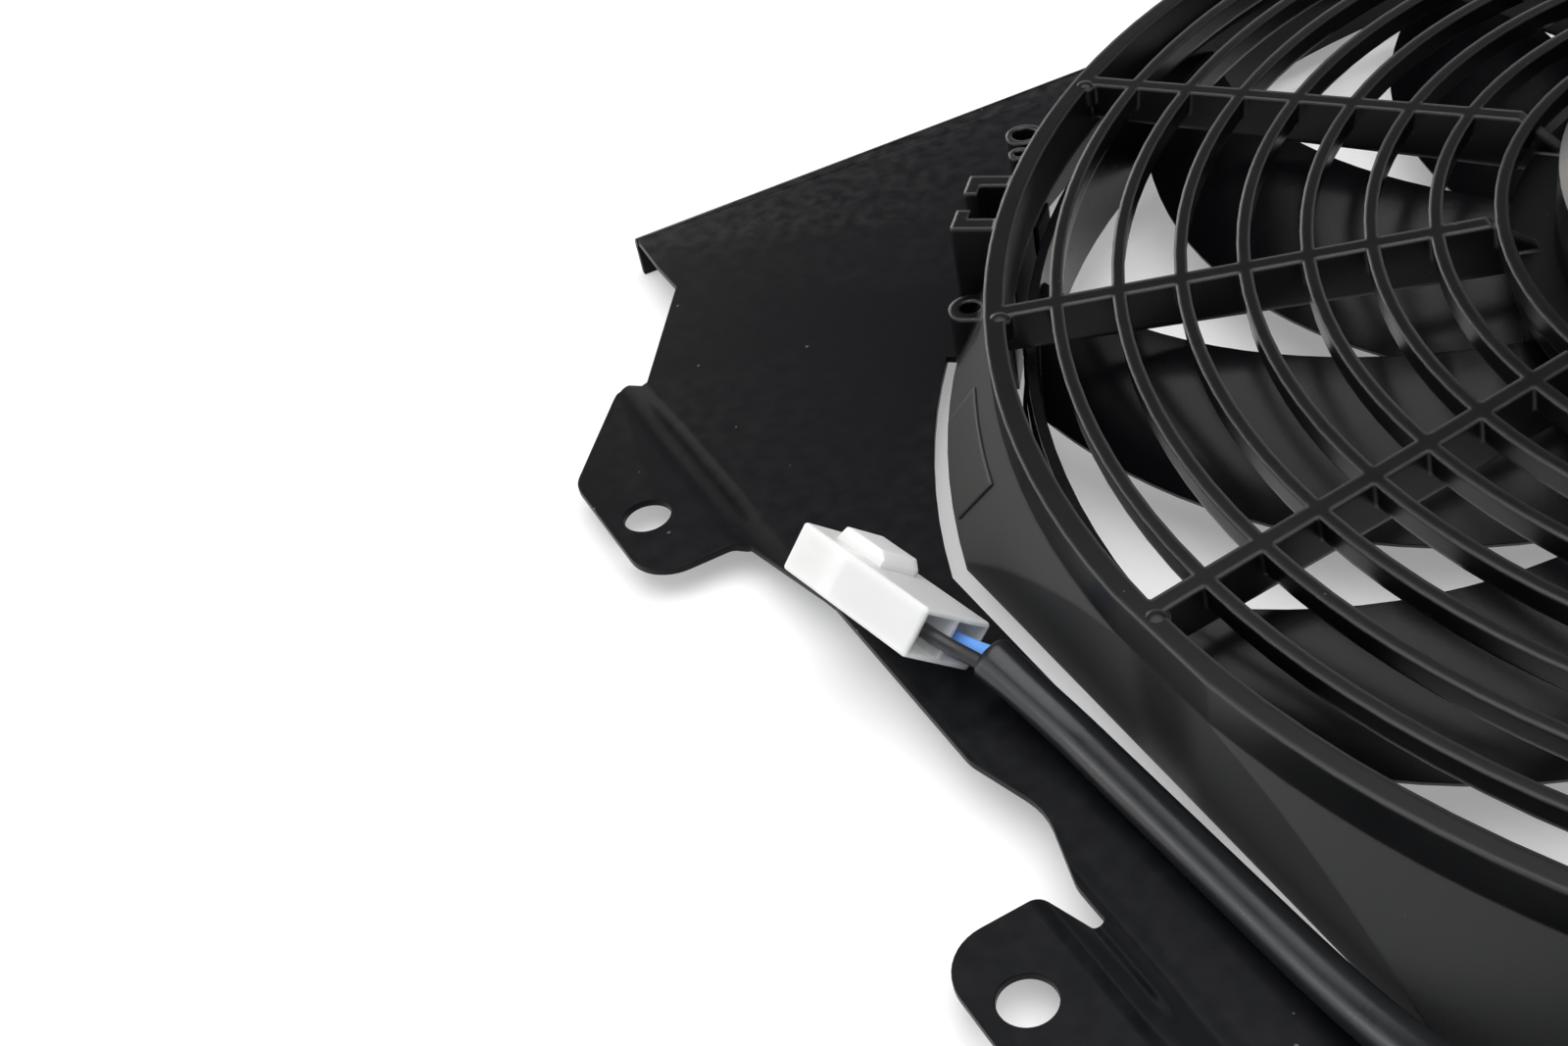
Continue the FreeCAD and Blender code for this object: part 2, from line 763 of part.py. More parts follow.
def make_motor_can():
    """The drawn can: a turned shell with a bore for the grommet and holes for the screws."""
    wall = S.can_wall
    edge = CAN_RADIUS - S.can_edge
    roof = CAN_BOSS_TOP - S.can_boss_roof
    lip = SEAT_RADIUS - S.seat_lip
    shell = turned_body("motor_can_shell", [
        (S.motor_body_radius - wall, MOTOR_UNDER), (S.motor_body_radius, MOTOR_UNDER),
        (S.motor_body_radius, MOTOR_SEAT), (CAN_RADIUS, MOTOR_SEAT),
        (CAN_RADIUS, CAN_TOP - S.can_edge), (edge, CAN_TOP),
        (BEARING_BOSS, CAN_TOP), (BEARING_BOSS, CAN_BOSS_TOP), (0.0, CAN_BOSS_TOP),
        (0.0, roof), (lip, roof), (lip, CAN_TOP),
        (SEAT_RADIUS, CAN_TOP), (SEAT_RADIUS, REAR_BEARING), (BEARING_BOSS, REAR_BEARING),
        (BEARING_BOSS, CAN_TOP - wall), (edge, CAN_TOP - wall),
        (CAN_RADIUS - wall, CAN_TOP - S.can_edge), (CAN_RADIUS - wall, MOTOR_SEAT + wall),
        (S.motor_body_radius - wall, MOTOR_SEAT + wall),
    ])
    way = polar(1, V.lead_azimuth)
    inside = CAN_RADIUS.value - V.can_wall - 2 * OVER
    bore_place = polar(inside, V.lead_azimuth, LEAD_HEIGHT.value)
    cutters = [cylinder("grommet_bore", GROMMET_NECK, wall + 4 * OVER, bore_place, way)]
    for azimuth in motor_screw_places():
        place = polar(SCREW_CIRCLE.value, azimuth, MOTOR_SEAT.value - OVER)
        cutters.append(cylinder("can_hole", S.motor_screw_radius + S.running_gap, wall + 2 * OVER, place))
    sub_part(less("motor_can_cut", shell, cutters), "motor_can")


def make_motor():
    make_motor_can()
    opening = S.bearing_radius - S.bearing_wall
    cap = turned_body("motor_end_cap", [
        (opening, CAP_UNDER), (S.motor_body_radius, CAP_UNDER),
        (S.motor_body_radius, MOTOR_UNDER), (BEARING_BOSS, MOTOR_UNDER),
        (BEARING_BOSS, FRONT_BEARING + S.bearing_width), (SEAT_RADIUS, FRONT_BEARING + S.bearing_width),
        (SEAT_RADIUS, FRONT_BEARING), (opening, FRONT_BEARING),
    ])
    sub_part(cap, "motor_end_cap")
    make_bearing("bearing_front", FRONT_BEARING)
    make_bearing("bearing_rear", REAR_BEARING)
    make_magnets()
    make_brushes()
    make_motor_screws()


def make_bearing(name, low):
    """A shielded ball bearing: its rings stand a little proud of its shields."""
    high = low + S.bearing_width
    step = S.bearing_face_step
    inner = BORE + S.bearing_rim
    outer = S.bearing_radius - S.bearing_rim
    bearing = turned_body(name, [
        (BORE, low), (inner, low), (inner, low + step), (outer, low + step), (outer, low),
        (S.bearing_radius, low), (S.bearing_radius, high), (outer, high), (outer, high - step),
        (inner, high - step), (inner, high), (BORE, high),
    ])
    sub_part(bearing, name)


def sector(outer, inner, low, high, arc, azimuth):
    """A ring sector centred on an azimuth."""
    solid = Part.makeCylinder(outer, high - low, vec(0, 0, low), vec(0, 0, 1), arc)
    solid = solid.cut(disc(inner, low - OVER, high + OVER))
    return turned_by(solid, azimuth - arc / 2)


def make_magnets():
    outer = CAN_RADIUS.value - V.can_wall - V.glue_gap
    low = MOTOR_SEAT.value + V.can_wall
    pitch = 360 / V.magnet_count
    magnets = []
    for step in range(int(V.magnet_count)):
        azimuth = V.lead_azimuth + pitch * (step + 0.5)
        inner = outer - V.magnet_thickness
        magnets.append(sector(outer, inner, low, low + V.magnet_height, V.magnet_arc, azimuth))
    feature("magnets", Part.makeCompound(magnets))


def make_brushes():
    """Brush card with a box for each brush, the carbon brushes and their springs."""
    wall = V.brush_wall
    gap = V.brush_gap
    card_low = MOTOR_UNDER.value
    card_top = CARD_TOP.value
    low = BRUSH_UNDER.value
    high = low + V.brush_height
    tip = V.commutator_radius + V.brush_arc_gap
    back = tip + V.brush_length
    stop = back + V.spring_length
    half = V.brush_width / 2
    face = disc(tip, low - OVER, high + OVER)
    card = tube(V.motor_body_radius - V.can_wall - V.glue_gap, V.card_hole_radius, card_low, card_top)
    seat = vec(back, 0, (low + high) / 2)
    spring = Part.makeCylinder(V.spring_radius, V.spring_length, seat, vec(1, 0))
    spring = spring.cut(Part.makeCylinder(V.spring_radius - V.spring_wall, V.spring_length, seat, vec(1, 0)))
    holder = block(V.card_hole_radius + OVER, stop + wall, -half - gap - wall, half + gap + wall,
                   card_top, high + gap + wall)
    channel = block(V.card_hole_radius, stop, -half - gap, half + gap, low - gap, high + gap)
    brush = block(tip - OVER, back, -half, half, low, high).cut(face)
    turns = [V.brush_azimuth + 360 / V.brush_count * step for step in range(int(V.brush_count))]
    card = card.multiFuse([turned_by(holder, azimuth) for azimuth in turns])
    card = card.cut(Part.makeCompound([turned_by(channel, azimuth) for azimuth in turns]))
    feature("brush_card", card)
    feature("carbon_brushes", Part.makeCompound([turned_by(brush, azimuth) for azimuth in turns]))
    feature("brush_springs", Part.makeCompound([turned_by(spring, azimuth) for azimuth in turns]))


def screw(name, radius, head_radius, head_height, reach, place):
    """A hexagon-head screw that points up, with its head under the place."""
    down = vec(0, 0, head_height.value)
    head = hexagon(name + "_head", head_radius, head_height, place - down)
    shank = cylinder(name + "_shank", radius, head_height + reach, place - down)
    return joined(name, [head, shank])


def make_motor_screws():
    reach = S.mount_ring_depth + S.can_wall - S.fit_gap
    screws = []
    for azimuth in motor_screw_places():
        place = polar(SCREW_CIRCLE.value, azimuth, RING_UNDER.value)
        screws.append(screw("motor_screw", S.motor_screw_radius, S.motor_screw_head,
                            S.motor_screw_head_height, reach, place))
    sub_part(group("motor_screw_set", screws), "motor_screws")


# Rotating pieces.

def make_shaft():
    top = CAN_TOP + S.shaft_end
    tip = S.shaft_radius - S.shaft_chamfer
    sub_part(turned_body("motor_shaft", [
        (0.0, S.shaft_bottom), (tip, S.shaft_bottom),
        (S.shaft_radius, S.shaft_bottom + S.shaft_chamfer), (S.shaft_radius, top - S.shaft_chamfer),
        (tip, top), (0.0, top),
    ]), "motor_shaft")
    low = FRONT_BEARING + S.bearing_width + S.washer_gap
    core_top = CORE_UNDER + S.core_height
    under_bearing = REAR_BEARING - S.washer_gap
    sub_part(turned_body(
        "thrust_washers",
        [(SHAFT_FIT, low), (S.insert_radius, low),
         (S.insert_radius, COMMUTATOR_UNDER), (SHAFT_FIT, COMMUTATOR_UNDER)],
        [(SHAFT_FIT, core_top), (S.insert_radius, core_top),
         (S.insert_radius, under_bearing), (SHAFT_FIT, under_bearing)],
    ), "thrust_washers")
    high = COMMUTATOR_UNDER + S.commutator_height
    rim = S.commutator_radius + S.commutator_rim
    rim_top = high + S.commutator_rim_height
    sub_part(turned_body("commutator", [
        (SHAFT_FIT, COMMUTATOR_UNDER), (S.commutator_radius, COMMUTATOR_UNDER),
        (S.commutator_radius, high), (rim, high), (rim, rim_top), (SHAFT_FIT, rim_top),
    ]), "commutator")


def make_armature():
    """Laminated core with a tooth for each coil, and the coils round the teeth."""
    low = CORE_UNDER.value
    high = low + V.core_height
    reach = CORE_RADIUS.value
    shoe_start = reach - V.shoe_depth
    half = V.tooth_width / 2
    gap = V.glue_gap
    wire = V.coil_thickness
    coil_start = V.core_hub_radius + V.coil_inset
    coil_end = shoe_start - V.coil_clearance
    inner = block(coil_start - OVER, coil_end + OVER, -half - gap, half + gap, low - gap, high + gap)
    coil = block(coil_start, coil_end, -half - gap - wire, half + gap + wire,
                 low - gap - wire, high + gap + wire)
    coil = coil.cut(inner)
    tooth = block(V.core_hub_radius - 2 * OVER, shoe_start + OVER, -half, half, low, high)
    core = [tube(V.core_hub_radius, SHAFT_FIT.value, low, high)]
    coils = []
    for step in range(int(V.tooth_count)):
        azimuth = 360 / V.tooth_count * step
        core.append(turned_by(tooth, azimuth))
        core.append(sector(reach, shoe_start, low, high, V.shoe_arc, azimuth))
        coils.append(turned_by(coil, azimuth))
    feature("armature_core", fused(core))
    feature("armature_coils", Part.makeCompound(coils))


def blade_section(radius):
    """The blade's closed section at one radius, in the plane through its two edges."""
    outward = (radius - V.hub_radius) / (V.rotor_ring_outer - V.hub_radius)
    width = V.blade_root_angle + (V.blade_tip_angle - V.blade_root_angle) * outward
    left = V.blade_azimuth - V.blade_sweep * outward ** 2
    right = left + width
    under = V.blade_under_root + (V.blade_under_tip - V.blade_under_root) * outward
    start = polar(radius, left, V.blade_top - V.blade_thickness / 2)
    end = polar(radius, right, under + V.blade_thickness / 2)
    chord = end - start
    normal = polar(1, (left + right) / 2).cross(chord)
    normal.normalize()
    if normal.z < 0:
        normal = normal * -1
    half = normal * (V.blade_thickness / 2)
    edge = half * V.blade_edge_share
    middle = (start + end) * 0.5 + normal * (chord.Length * V.blade_camber)
    upper = Part.Arc(start + edge, middle + half, end + edge).toShape()
    trailing = Part.LineSegment(end + edge, end - edge).toShape()
    lower = Part.Arc(end - edge, middle - half, start - edge).toShape()
    leading = Part.LineSegment(start - edge, start + edge).toShape()
    return Part.Wire([upper, trailing, lower, leading])


def turned_shape(profile):
    """A solid of revolution about the fan axis, from a closed loop of (radius, height)."""
    corners = [vec(radius, 0, z) for radius, z in profile]
    return Part.Face(Part.makePolygon(corners + corners[:1])).revolve(vec(0, 0), vec(0, 0, 1), 360)


def hub_shape():
    """The cup over the motor's front, with a boss for the metal insert."""
    low = V.hub_under
    floor = low + V.hub_floor
    boss_top = low + V.hub_boss_height
    outer = V.hub_radius
    inner = outer - V.hub_wall
    corner = V.hub_corner
    fillet = V.hub_inner_corner
    return turned_shape([
        (0, low), (outer - corner, low), (outer, low + corner), (outer, HUB_TOP.value),
        (inner, HUB_TOP.value), (inner, floor + fillet), (inner - fillet, floor),
        (V.hub_boss_radius, floor), (V.hub_boss_radius, boss_top), (0, boss_top),
    ])


def rotor_ring_shape():
    """The ring round the blades, with a lip below and a thinner edge above."""
    outer = V.rotor_ring_outer
    inner = outer - V.rotor_ring_wall
    under = V.rotor_ring_under
    top = V.rotor_ring_top
    lip = outer + V.rotor_ring_lip
    step = V.rotor_ring_step
    return turned_shape([
        (inner, under), (lip, under), (lip, under + 2 * step), (outer, under + 4 * step),
        (outer, top - 5 * step), (outer - step, top - 4 * step), (outer - step, top), (inner, top),
    ])


def make_rotor():
    """Hub cup, swept blades and the outer ring, moulded in one."""
    low = V.hub_under
    root = V.hub_radius - V.hub_wall / 2
    tip = V.rotor_ring_outer - V.rotor_ring_wall / 2
    first = root - V.blade_overrun
    pitch = (tip + V.blade_overrun - first) / (V.blade_stations - 1)
    sections = [blade_section(first + pitch * i) for i in range(int(V.blade_stations))]
    blade = Part.makeLoft(sections, True, False)
    blade = blade.common(tube(tip, root, low, V.rotor_ring_top))
    blades = [turned_by(blade, 360 / V.blade_count * step) for step in range(int(V.blade_count))]
    rotor = hub_shape().multiFuse(blades + [rotor_ring_shape()])
    bore = disc(V.insert_radius + V.fit_gap, low - OVER, low + V.hub_boss_height + OVER)
    feature("fan_rotor", rotor.cut(bore))
    make_hub_fixing()


def make_hub_fixing():
    """Metal insert in the hub, with the washer and the nut that hold the rotor on the shaft."""
    top = S.hub_under + S.hub_boss_height
    sub_part(turned_body("hub_insert", [
        (SHAFT_FIT, S.hub_under), (S.insert_radius, S.hub_under), (S.insert_radius, top), (SHAFT_FIT, top),
    ]), "hub_insert")
    washer_low = S.hub_under - S.washer_thickness
    rim = S.insert_radius + S.hub_washer_rim
    sub_part(turned_body("hub_washer", [
        (SHAFT_FIT, washer_low), (rim, washer_low), (rim, S.hub_under), (SHAFT_FIT, S.hub_under),
    ]), "hub_washer")
    place = vec(0, 0, washer_low.value - V.nut_height)
    nut = hexagon("nut_blank", S.nut_corner, S.nut_height, place)
    bore = cylinder("nut_bore", SHAFT_FIT, S.nut_height, place)
    sub_part(less("nut", nut, [bore]), "hub_nut")


# Fasteners between the plate's ears and the lugs.

def make_frame_screws():
    """A self-tapping screw with a washer, from below through each ear into the floor of its lug."""
    seat = V.plate_under - V.washer_thickness
    reach = S.sheet_thickness + S.washer_thickness + S.screw_bite
    rim = S.screw_head_radius + S.washer_rim
    screws = []
    washers = []
    for place in lug_places():
        low = place + vec(0, 0, seat)
        screws.append(screw("frame_screw", S.screw_radius, S.screw_head_radius,
                            S.screw_head_height, reach, low))
        ring = cylinder("washer_blank", rim, S.washer_thickness, low)
        hole = cylinder("washer_hole", S.screw_hole_radius, S.washer_thickness, low)
        washers.append(less("frame_washer", ring, [hole]))
    sub_part(group("frame_screw_set", screws), "frame_screws")
    sub_part(group("frame_washer_set", washers), "frame_washers")


# Connector, wires and lead.

def connector_placement():
    """The connector lies on one long edge on the plate, leaning over."""
    turn = FreeCAD.Rotation(vec(0, 0, 1), V.connector_heading)
    lean = FreeCAD.Rotation(vec(1, 0, 0), -V.connector_lean)
    return FreeCAD.Placement(vec(V.connector_edge_x, V.connector_edge_y, PLATE_TOP.value), turn * lean)


def connector_point(along, across, up):
    """A place in the connector's own directions, from its far corner above the leaning side."""
    return connector_placement().multVec(vec(along, across - V.connector_width, up))


def cavity_centres():
    quarter = (V.connector_width - V.connector_wall) / 4
    return [V.connector_wall / 2 + quarter, V.connector_width - V.connector_wall / 2 - quarter]


def make_connector():
    """Two-way housing: a cavity for each wire at the back and a socket for the mate in front."""
    length = V.connector_length
    width = V.connector_width
    height = V.connector_height
    wall = V.connector_wall
    shell = block(0, length, -width, 0, 0, height)
    shell = shell.makeFillet(V.connector_round, shell.Edges)
    latch_end = V.latch_start + V.latch_length
    latch_top = height + V.latch_height
    latch = side_prism([
        (V.latch_start, height - wall / 2), (V.latch_start + V.latch_slope, latch_top),
        (latch_end - V.latch_slope, latch_top), (latch_end, latch_top - V.latch_slope),
        (latch_end, height - wall / 2),
    ], V.latch_width / 2)
    top_edges = [edge for edge in latch.Edges if edge.BoundBox.ZMin > height + OVER]
    latch = latch.makeFillet(V.latch_round, top_edges)
    latch.translate(vec(0, -width / 2, 0))
    shell = shell.fuse(latch)
    shell = shell.cut(block(-OVER, V.socket_depth, wall - width, -wall, wall, height - wall))
    cavity_half = (width - 3 * wall) / 4
    pin_half = V.pin_width / 2
    start = length - V.cavity_depth
    middle = height / 2
    low = middle - V.pin_thickness / 2
    high = middle + V.pin_thickness / 2
    gap = V.fit_gap
    terminals = []
    for centre in cavity_centres():
        y = centre - width
        cavity = block(start, length + OVER, y - cavity_half, y + cavity_half, wall, height - wall)
        slit = block(V.socket_depth - OVER, start + OVER, y - pin_half - gap, y + pin_half + gap,
                     low - gap, high + gap)
        shell = shell.cut(cavity.fuse(slit))
        pin = block(V.socket_depth - V.pin_length, start + OVER, y - pin_half, y + pin_half, low, high)
        crimp_half = V.crimp_size / 2
        crimp = block(start, start + V.crimp_length, y - crimp_half, y + crimp_half,
                      middle - crimp_half, middle + crimp_half)
        terminals.append(pin.fuse(crimp))
    feature("connector_housing", shell, connector_placement())
    feature("connector_terminals", Part.makeCompound(terminals), connector_placement())


def cord_tube(name, points, diameter):
    """A round cord along straight runs joined by tangent arcs."""
    edges = []
    last = points[0]
    for i in range(1, len(points) - 1):
        here = points[i]
        before = points[i - 1] - here
        after = points[i + 1] - here
        half_turn = (math.pi - before.getAngle(after)) / 2
        reach = V.bend_share * min(before.Length, after.Length)
        radius = reach / math.tan(half_turn)
        before.normalize()
        after.normalize()
        inward = before + after
        inward.normalize()
        start = here + before * reach
        end = here + after * reach
        middle = here + inward * (radius / math.cos(half_turn) - radius)
        edges.append(Part.LineSegment(last, start).toShape())
        edges.append(Part.Arc(start, middle, end).toShape())
        last = end
    edges.append(Part.LineSegment(last, points[-1]).toShape())
    path = Part.Wire(edges)
    circle = Part.Wire(Part.Circle(points[0], points[1] - points[0], diameter / 2).toShape())
    solid = path.makePipeShell([circle], True, False)
    print(name, "length", round(path.Length, 1))
    feature(name, solid)


def sleeve_route():
    """The lead's middle line: from the wires, along the plate, over the rim and in to the motor."""
    on_plate = PLATE_TOP.value + V.sleeve_diameter / 2
    on_guard = GUARD_TOP.value + V.sleeve_diameter / 2 + V.guard_clearance
    height = LEAD_HEIGHT.value
    face = CAN_RADIUS.value + V.grommet_collar + V.lead_gap
    points = [vec(-213.5, 38.2, on_plate + 4.6), vec(-210.3, 21.0, on_plate + 1.0)]
    points += [vec(-209.2, 1.6, on_plate + 0.2), vec(-207.9, -30.9, on_plate + 0.1)]
    points += [vec(-206.8, -62.0, on_plate + 0.5), vec(-205.0, -86.0, on_plate + 5.2)]
    points += [vec(-195.5, -109.0, on_plate + 18.2), vec(-177.5, -126.0, on_guard - 3.0)]
    points += [vec(-153.0, -133.5, on_guard + 4.0), vec(-128.0, -126.0, on_guard + 3.4)]
    points += [vec(-105.5, -107.5, on_guard + 3.4)]
    points += [polar(face + 30.0, V.lead_azimuth, height + 5.0)]
    points += [polar(face, V.lead_azimuth, height)]
    return points


def make_lead():
    route = sleeve_route()
    cord_tube("lead_sleeve", route, V.sleeve_diameter)
    way = route[1] - route[0]
    way.normalize()
    side = way.cross(vec(0, 0, 1))
    side.normalize()
    inside = route[0] + way * V.wire_in_sleeve
    half = V.wire_spacing / 2
    first, second = cavity_centres()
    middle = V.connector_height / 2
    mouth = V.connector_length
    start = mouth - V.cavity_depth + V.crimp_length
    black = [connector_point(start, first, middle), connector_point(mouth + 1.0, first, middle)]
    blue = [connector_point(start, second, middle), connector_point(mouth - 0.5, second, middle)]
    cord_tube("wire_black", black + [inside + side * half], V.wire_diameter)
    cord_tube("wire_blue", blue + [inside - side * half], V.wire_diameter)


def make_grommet():
    """The rubber grommet in the can's side, with the lead's end against its face."""
    way = polar(1, V.lead_azimuth)
    height = LEAD_HEIGHT.value
    outside = CAN_RADIUS + S.fit_gap
    inside = CAN_RADIUS.value - V.can_wall - V.grommet_tail
    plug = cylinder("grommet_plug", GROMMET_NECK, S.can_wall + S.grommet_tail * 2,
                    polar(inside, V.lead_azimuth, height), way)
    collar = cylinder("grommet_collar", GROMMET_COLLAR, S.grommet_collar,
                      polar(CAN_RADIUS.value, V.lead_azimuth, height), way)
    depth = GROMMET_COLLAR * 3
    can = cylinder("grommet_seat", outside, depth, vec(0, 0, height - depth.value / 2))
    rim = less("grommet_rim", collar, [can])
    sub_part(joined("grommet", [plug, rim]), "lead_grommet")


def write_parts():
    """Checks every object of the document and writes one file for each sub-part."""
    DOC.recompute()
    for item in DOC.Objects:
        if "Invalid" in item.State or "Error" in item.State:
            raise ValueError(f"{item.Name} is {item.State}")
    for item in SUB_PARTS:
        shape = item.Shape
        if shape.isNull() or not shape.isValid() or shape.Volume <= 0:
            raise ValueError(f"{item.Label} has no valid shape")
        shape.exportStep(f"parts/{item.Label}.step")
        print(item.Label, len(shape.Solids), "solids", round(shape.Volume / 1000, 2), "cm3")
    print(len(SUB_PARTS), "parts")


make_plate()
make_frame()
make_motor()
make_shaft()
make_armature()
make_rotor()
make_frame_screws()
make_connector()
make_lead()
make_grommet()
write_parts()
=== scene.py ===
import math

import bmesh
import bpy
from mathutils import Matrix, Quaternion, Vector


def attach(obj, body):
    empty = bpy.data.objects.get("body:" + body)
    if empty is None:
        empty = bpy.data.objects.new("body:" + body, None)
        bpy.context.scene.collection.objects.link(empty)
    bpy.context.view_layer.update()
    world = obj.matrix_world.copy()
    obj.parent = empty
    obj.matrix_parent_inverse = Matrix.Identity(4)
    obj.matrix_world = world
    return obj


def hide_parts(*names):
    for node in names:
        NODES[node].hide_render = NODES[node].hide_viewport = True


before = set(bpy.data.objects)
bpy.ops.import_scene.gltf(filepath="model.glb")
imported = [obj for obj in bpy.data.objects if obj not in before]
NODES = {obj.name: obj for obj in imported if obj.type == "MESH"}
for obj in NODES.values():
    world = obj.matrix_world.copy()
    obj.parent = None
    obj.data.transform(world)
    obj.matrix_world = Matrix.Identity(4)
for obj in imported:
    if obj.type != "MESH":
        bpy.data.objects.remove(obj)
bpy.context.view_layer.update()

# Radiator fan shroud: finishes, lead, lights and camera. Lengths are in metres, in the frame's own axes.

# Camera, solved from the guard's rings and ribs.
CAMERA_PLACE = Vector((-0.33243, -0.21611, 0.29440))
CAMERA_AIM = Vector((-0.22379, 0.11039, 0.01200))
CAMERA_ROLL = math.radians(-13.59)
LENS = 46.6
SENSOR = 36.0

# The plate's hard edges, rounded after faces that are flat within a small angle are joined.
WELD_REACH = 1e-6
PLATE_FLAT_ANGLE = 0.2
PLATE_EDGE = 0.0003
PLATE_EDGE_ANGLE = 45
PLATE_EDGE_SEGMENTS = 2

# Folds beside the tabs, as (share across the fold, outward tip): 0.5 is flat. The grooved profile fades
# in and out over two spans along Y, measured from a hole. Only faces that point up enough are bent.
TAB_HOLE_Y = 0.1368
TAB_PITCH = 0.161
FOLD_START = 0.2225
FOLD_END = 0.2355
FOLD_PLAIN = [(0.0, 0.5), (0.12, 0.47), (0.24, 0.5), (0.36, 0.80), (0.60, 0.78), (0.72, 0.62),
              (0.82, 0.40), (1.0, 0.5)]
FOLD_GROOVED = [(0.0, 0.5), (0.12, 0.47), (0.22, 0.5), (0.34, 0.84), (0.45, 0.72), (0.52, 0.38),
                (0.60, 0.72), (0.70, 0.76), (0.82, 0.38), (1.0, 0.5)]
GROOVE_STARTS = (-0.020, -0.012)
GROOVE_ENDS = (0.038, 0.022)
TOP_FACE = 0.7

# Lead: its middle line from the grommet to the wires, as in the part's source.
SLEEVE_ROUTE = [
    (-0.0599, -0.0620, 0.0513), (-0.0807, -0.0836, 0.0563), (-0.1055, -0.1075, 0.0560),
    (-0.1280, -0.1260, 0.0560), (-0.1530, -0.1335, 0.0566), (-0.1775, -0.1260, 0.0496),
    (-0.1955, -0.1090, 0.0345), (-0.2050, -0.0860, 0.0215), (-0.2068, -0.0620, 0.0168),
    (-0.2079, -0.0309, 0.0164), (-0.2092, 0.0016, 0.0165), (-0.2103, 0.0210, 0.0173),
    (-0.2135, 0.0382, 0.0209),
]
SLEEVE_DIAMETER = 0.0086
ROUTE_RESOLUTION = 24
TUBE_SIDES = 40

# The sleeve's mouth: its flare over the last part of the length, and its lip and bore as rings
# (share of the wall inwards, how far back).
FLARE_START = 0.96
FLARE_WIDER = 0.07
FLARE_FLATTER = 0.03
MOUTH_WALL = 0.0009
MOUTH_DEPTH = 0.0030
MOUTH_LIP = [(0.15, -0.00015), (0.5, -0.0003), (0.85, -0.00015), (1.0, 0.0002), (1.0, MOUTH_DEPTH)]

# The frame's sloping flank and the bare plaque on it.
CONE_TOP = 0.038
CONE_FOOT = 0.014
CONE_TOP_RADIUS = 0.2005
CONE_FOOT_RADIUS = 0.2125
PLAQUE_START = 147.7
PLAQUE_ARC = 9.4
PLAQUE_SLANT = 2.4
PLAQUE_FOOT = 0.0160
PLAQUE_TOP = 0.0308
PLAQUE_HEIGHT = 0.0005
PLAQUE_SINK = 0.0002
PLAQUE_COLUMNS = 12
PLAQUE_EDGE = 0.00012
PLAQUE_EDGE_SEGMENTS = 2
PLAQUE_EDGE_ANGLE = 40
PLAQUE_SHARP_ANGLE = 35

# The guard's ribs: three are spaced as listed, the rest evenly. Each ends in a bead.
GUARD_TOP = 0.048
RIB_COUNT = 13
RIB_DIRECTIONS = [125.24, 156.07, 184.6]
RIB_OFFSETS = [0.0145, 0.0230, 0.0220]
RIB_OFFSET = 0.0200
RIB_PITCH = (360 + RIB_DIRECTIONS[0] - RIB_DIRECTIONS[-1]) / (RIB_COUNT - 2)
RIB_HALF_WIDTH = 0.0019
BEAD_CIRCLE = 0.1972
BEAD_DROP = 0.0010
BEAD_RADIUS = 0.0026
BEAD_HEIGHT = 0.0014
BEAD_SEGMENTS = 20
BEAD_RINGS = 12

# Finishes: the sizes of their patterns, and how a surface answers to them.
CLOUD_SIZE = 0.02
CLOUD_DETAIL = 4.0
# Patches in which edges turn lighter: partly wear, partly a painted highlight along the edges.
EDGE_PATCH_SIZE = 0.004
EDGE_PATCH_SPAN = (0.35, 0.75)
MOTTLE_SIZE = 0.006
MOTTLE_SPAN = (0.3, 0.7)
GRAIN_DETAIL = 2.0
GRAIN_ROUGHNESS = 0.6
GRAIN_STRENGTH = 0.6
BEVEL_SAMPLES = 6
FULL_EDGE_COSINE = 0.88
POINTED_SPAN = (0.53, 0.60)
SPECK_RADIUS = 0.11

# The flank's rougher skin: the radii, the distances off the cone and the heights over which it fades,
# and what it is like.
WALL_SPAN = (CONE_TOP_RADIUS - 0.0008, CONE_TOP_RADIUS - 0.0002)
OFF_CONE_SPAN = (0.0010, 0.0014)
OVER_CONE_SPAN = (CONE_TOP, CONE_TOP + 0.0008)
FLANK_ROUGHNESS = 0.52
FLANK_GRAIN_DEPTH = 0.00004
FRAME_EDGE_SPECULAR = 0.8

# The nylon lets light in under its skin.
NYLON_GLOW = 0.8
NYLON_GLOW_REACH = 0.005
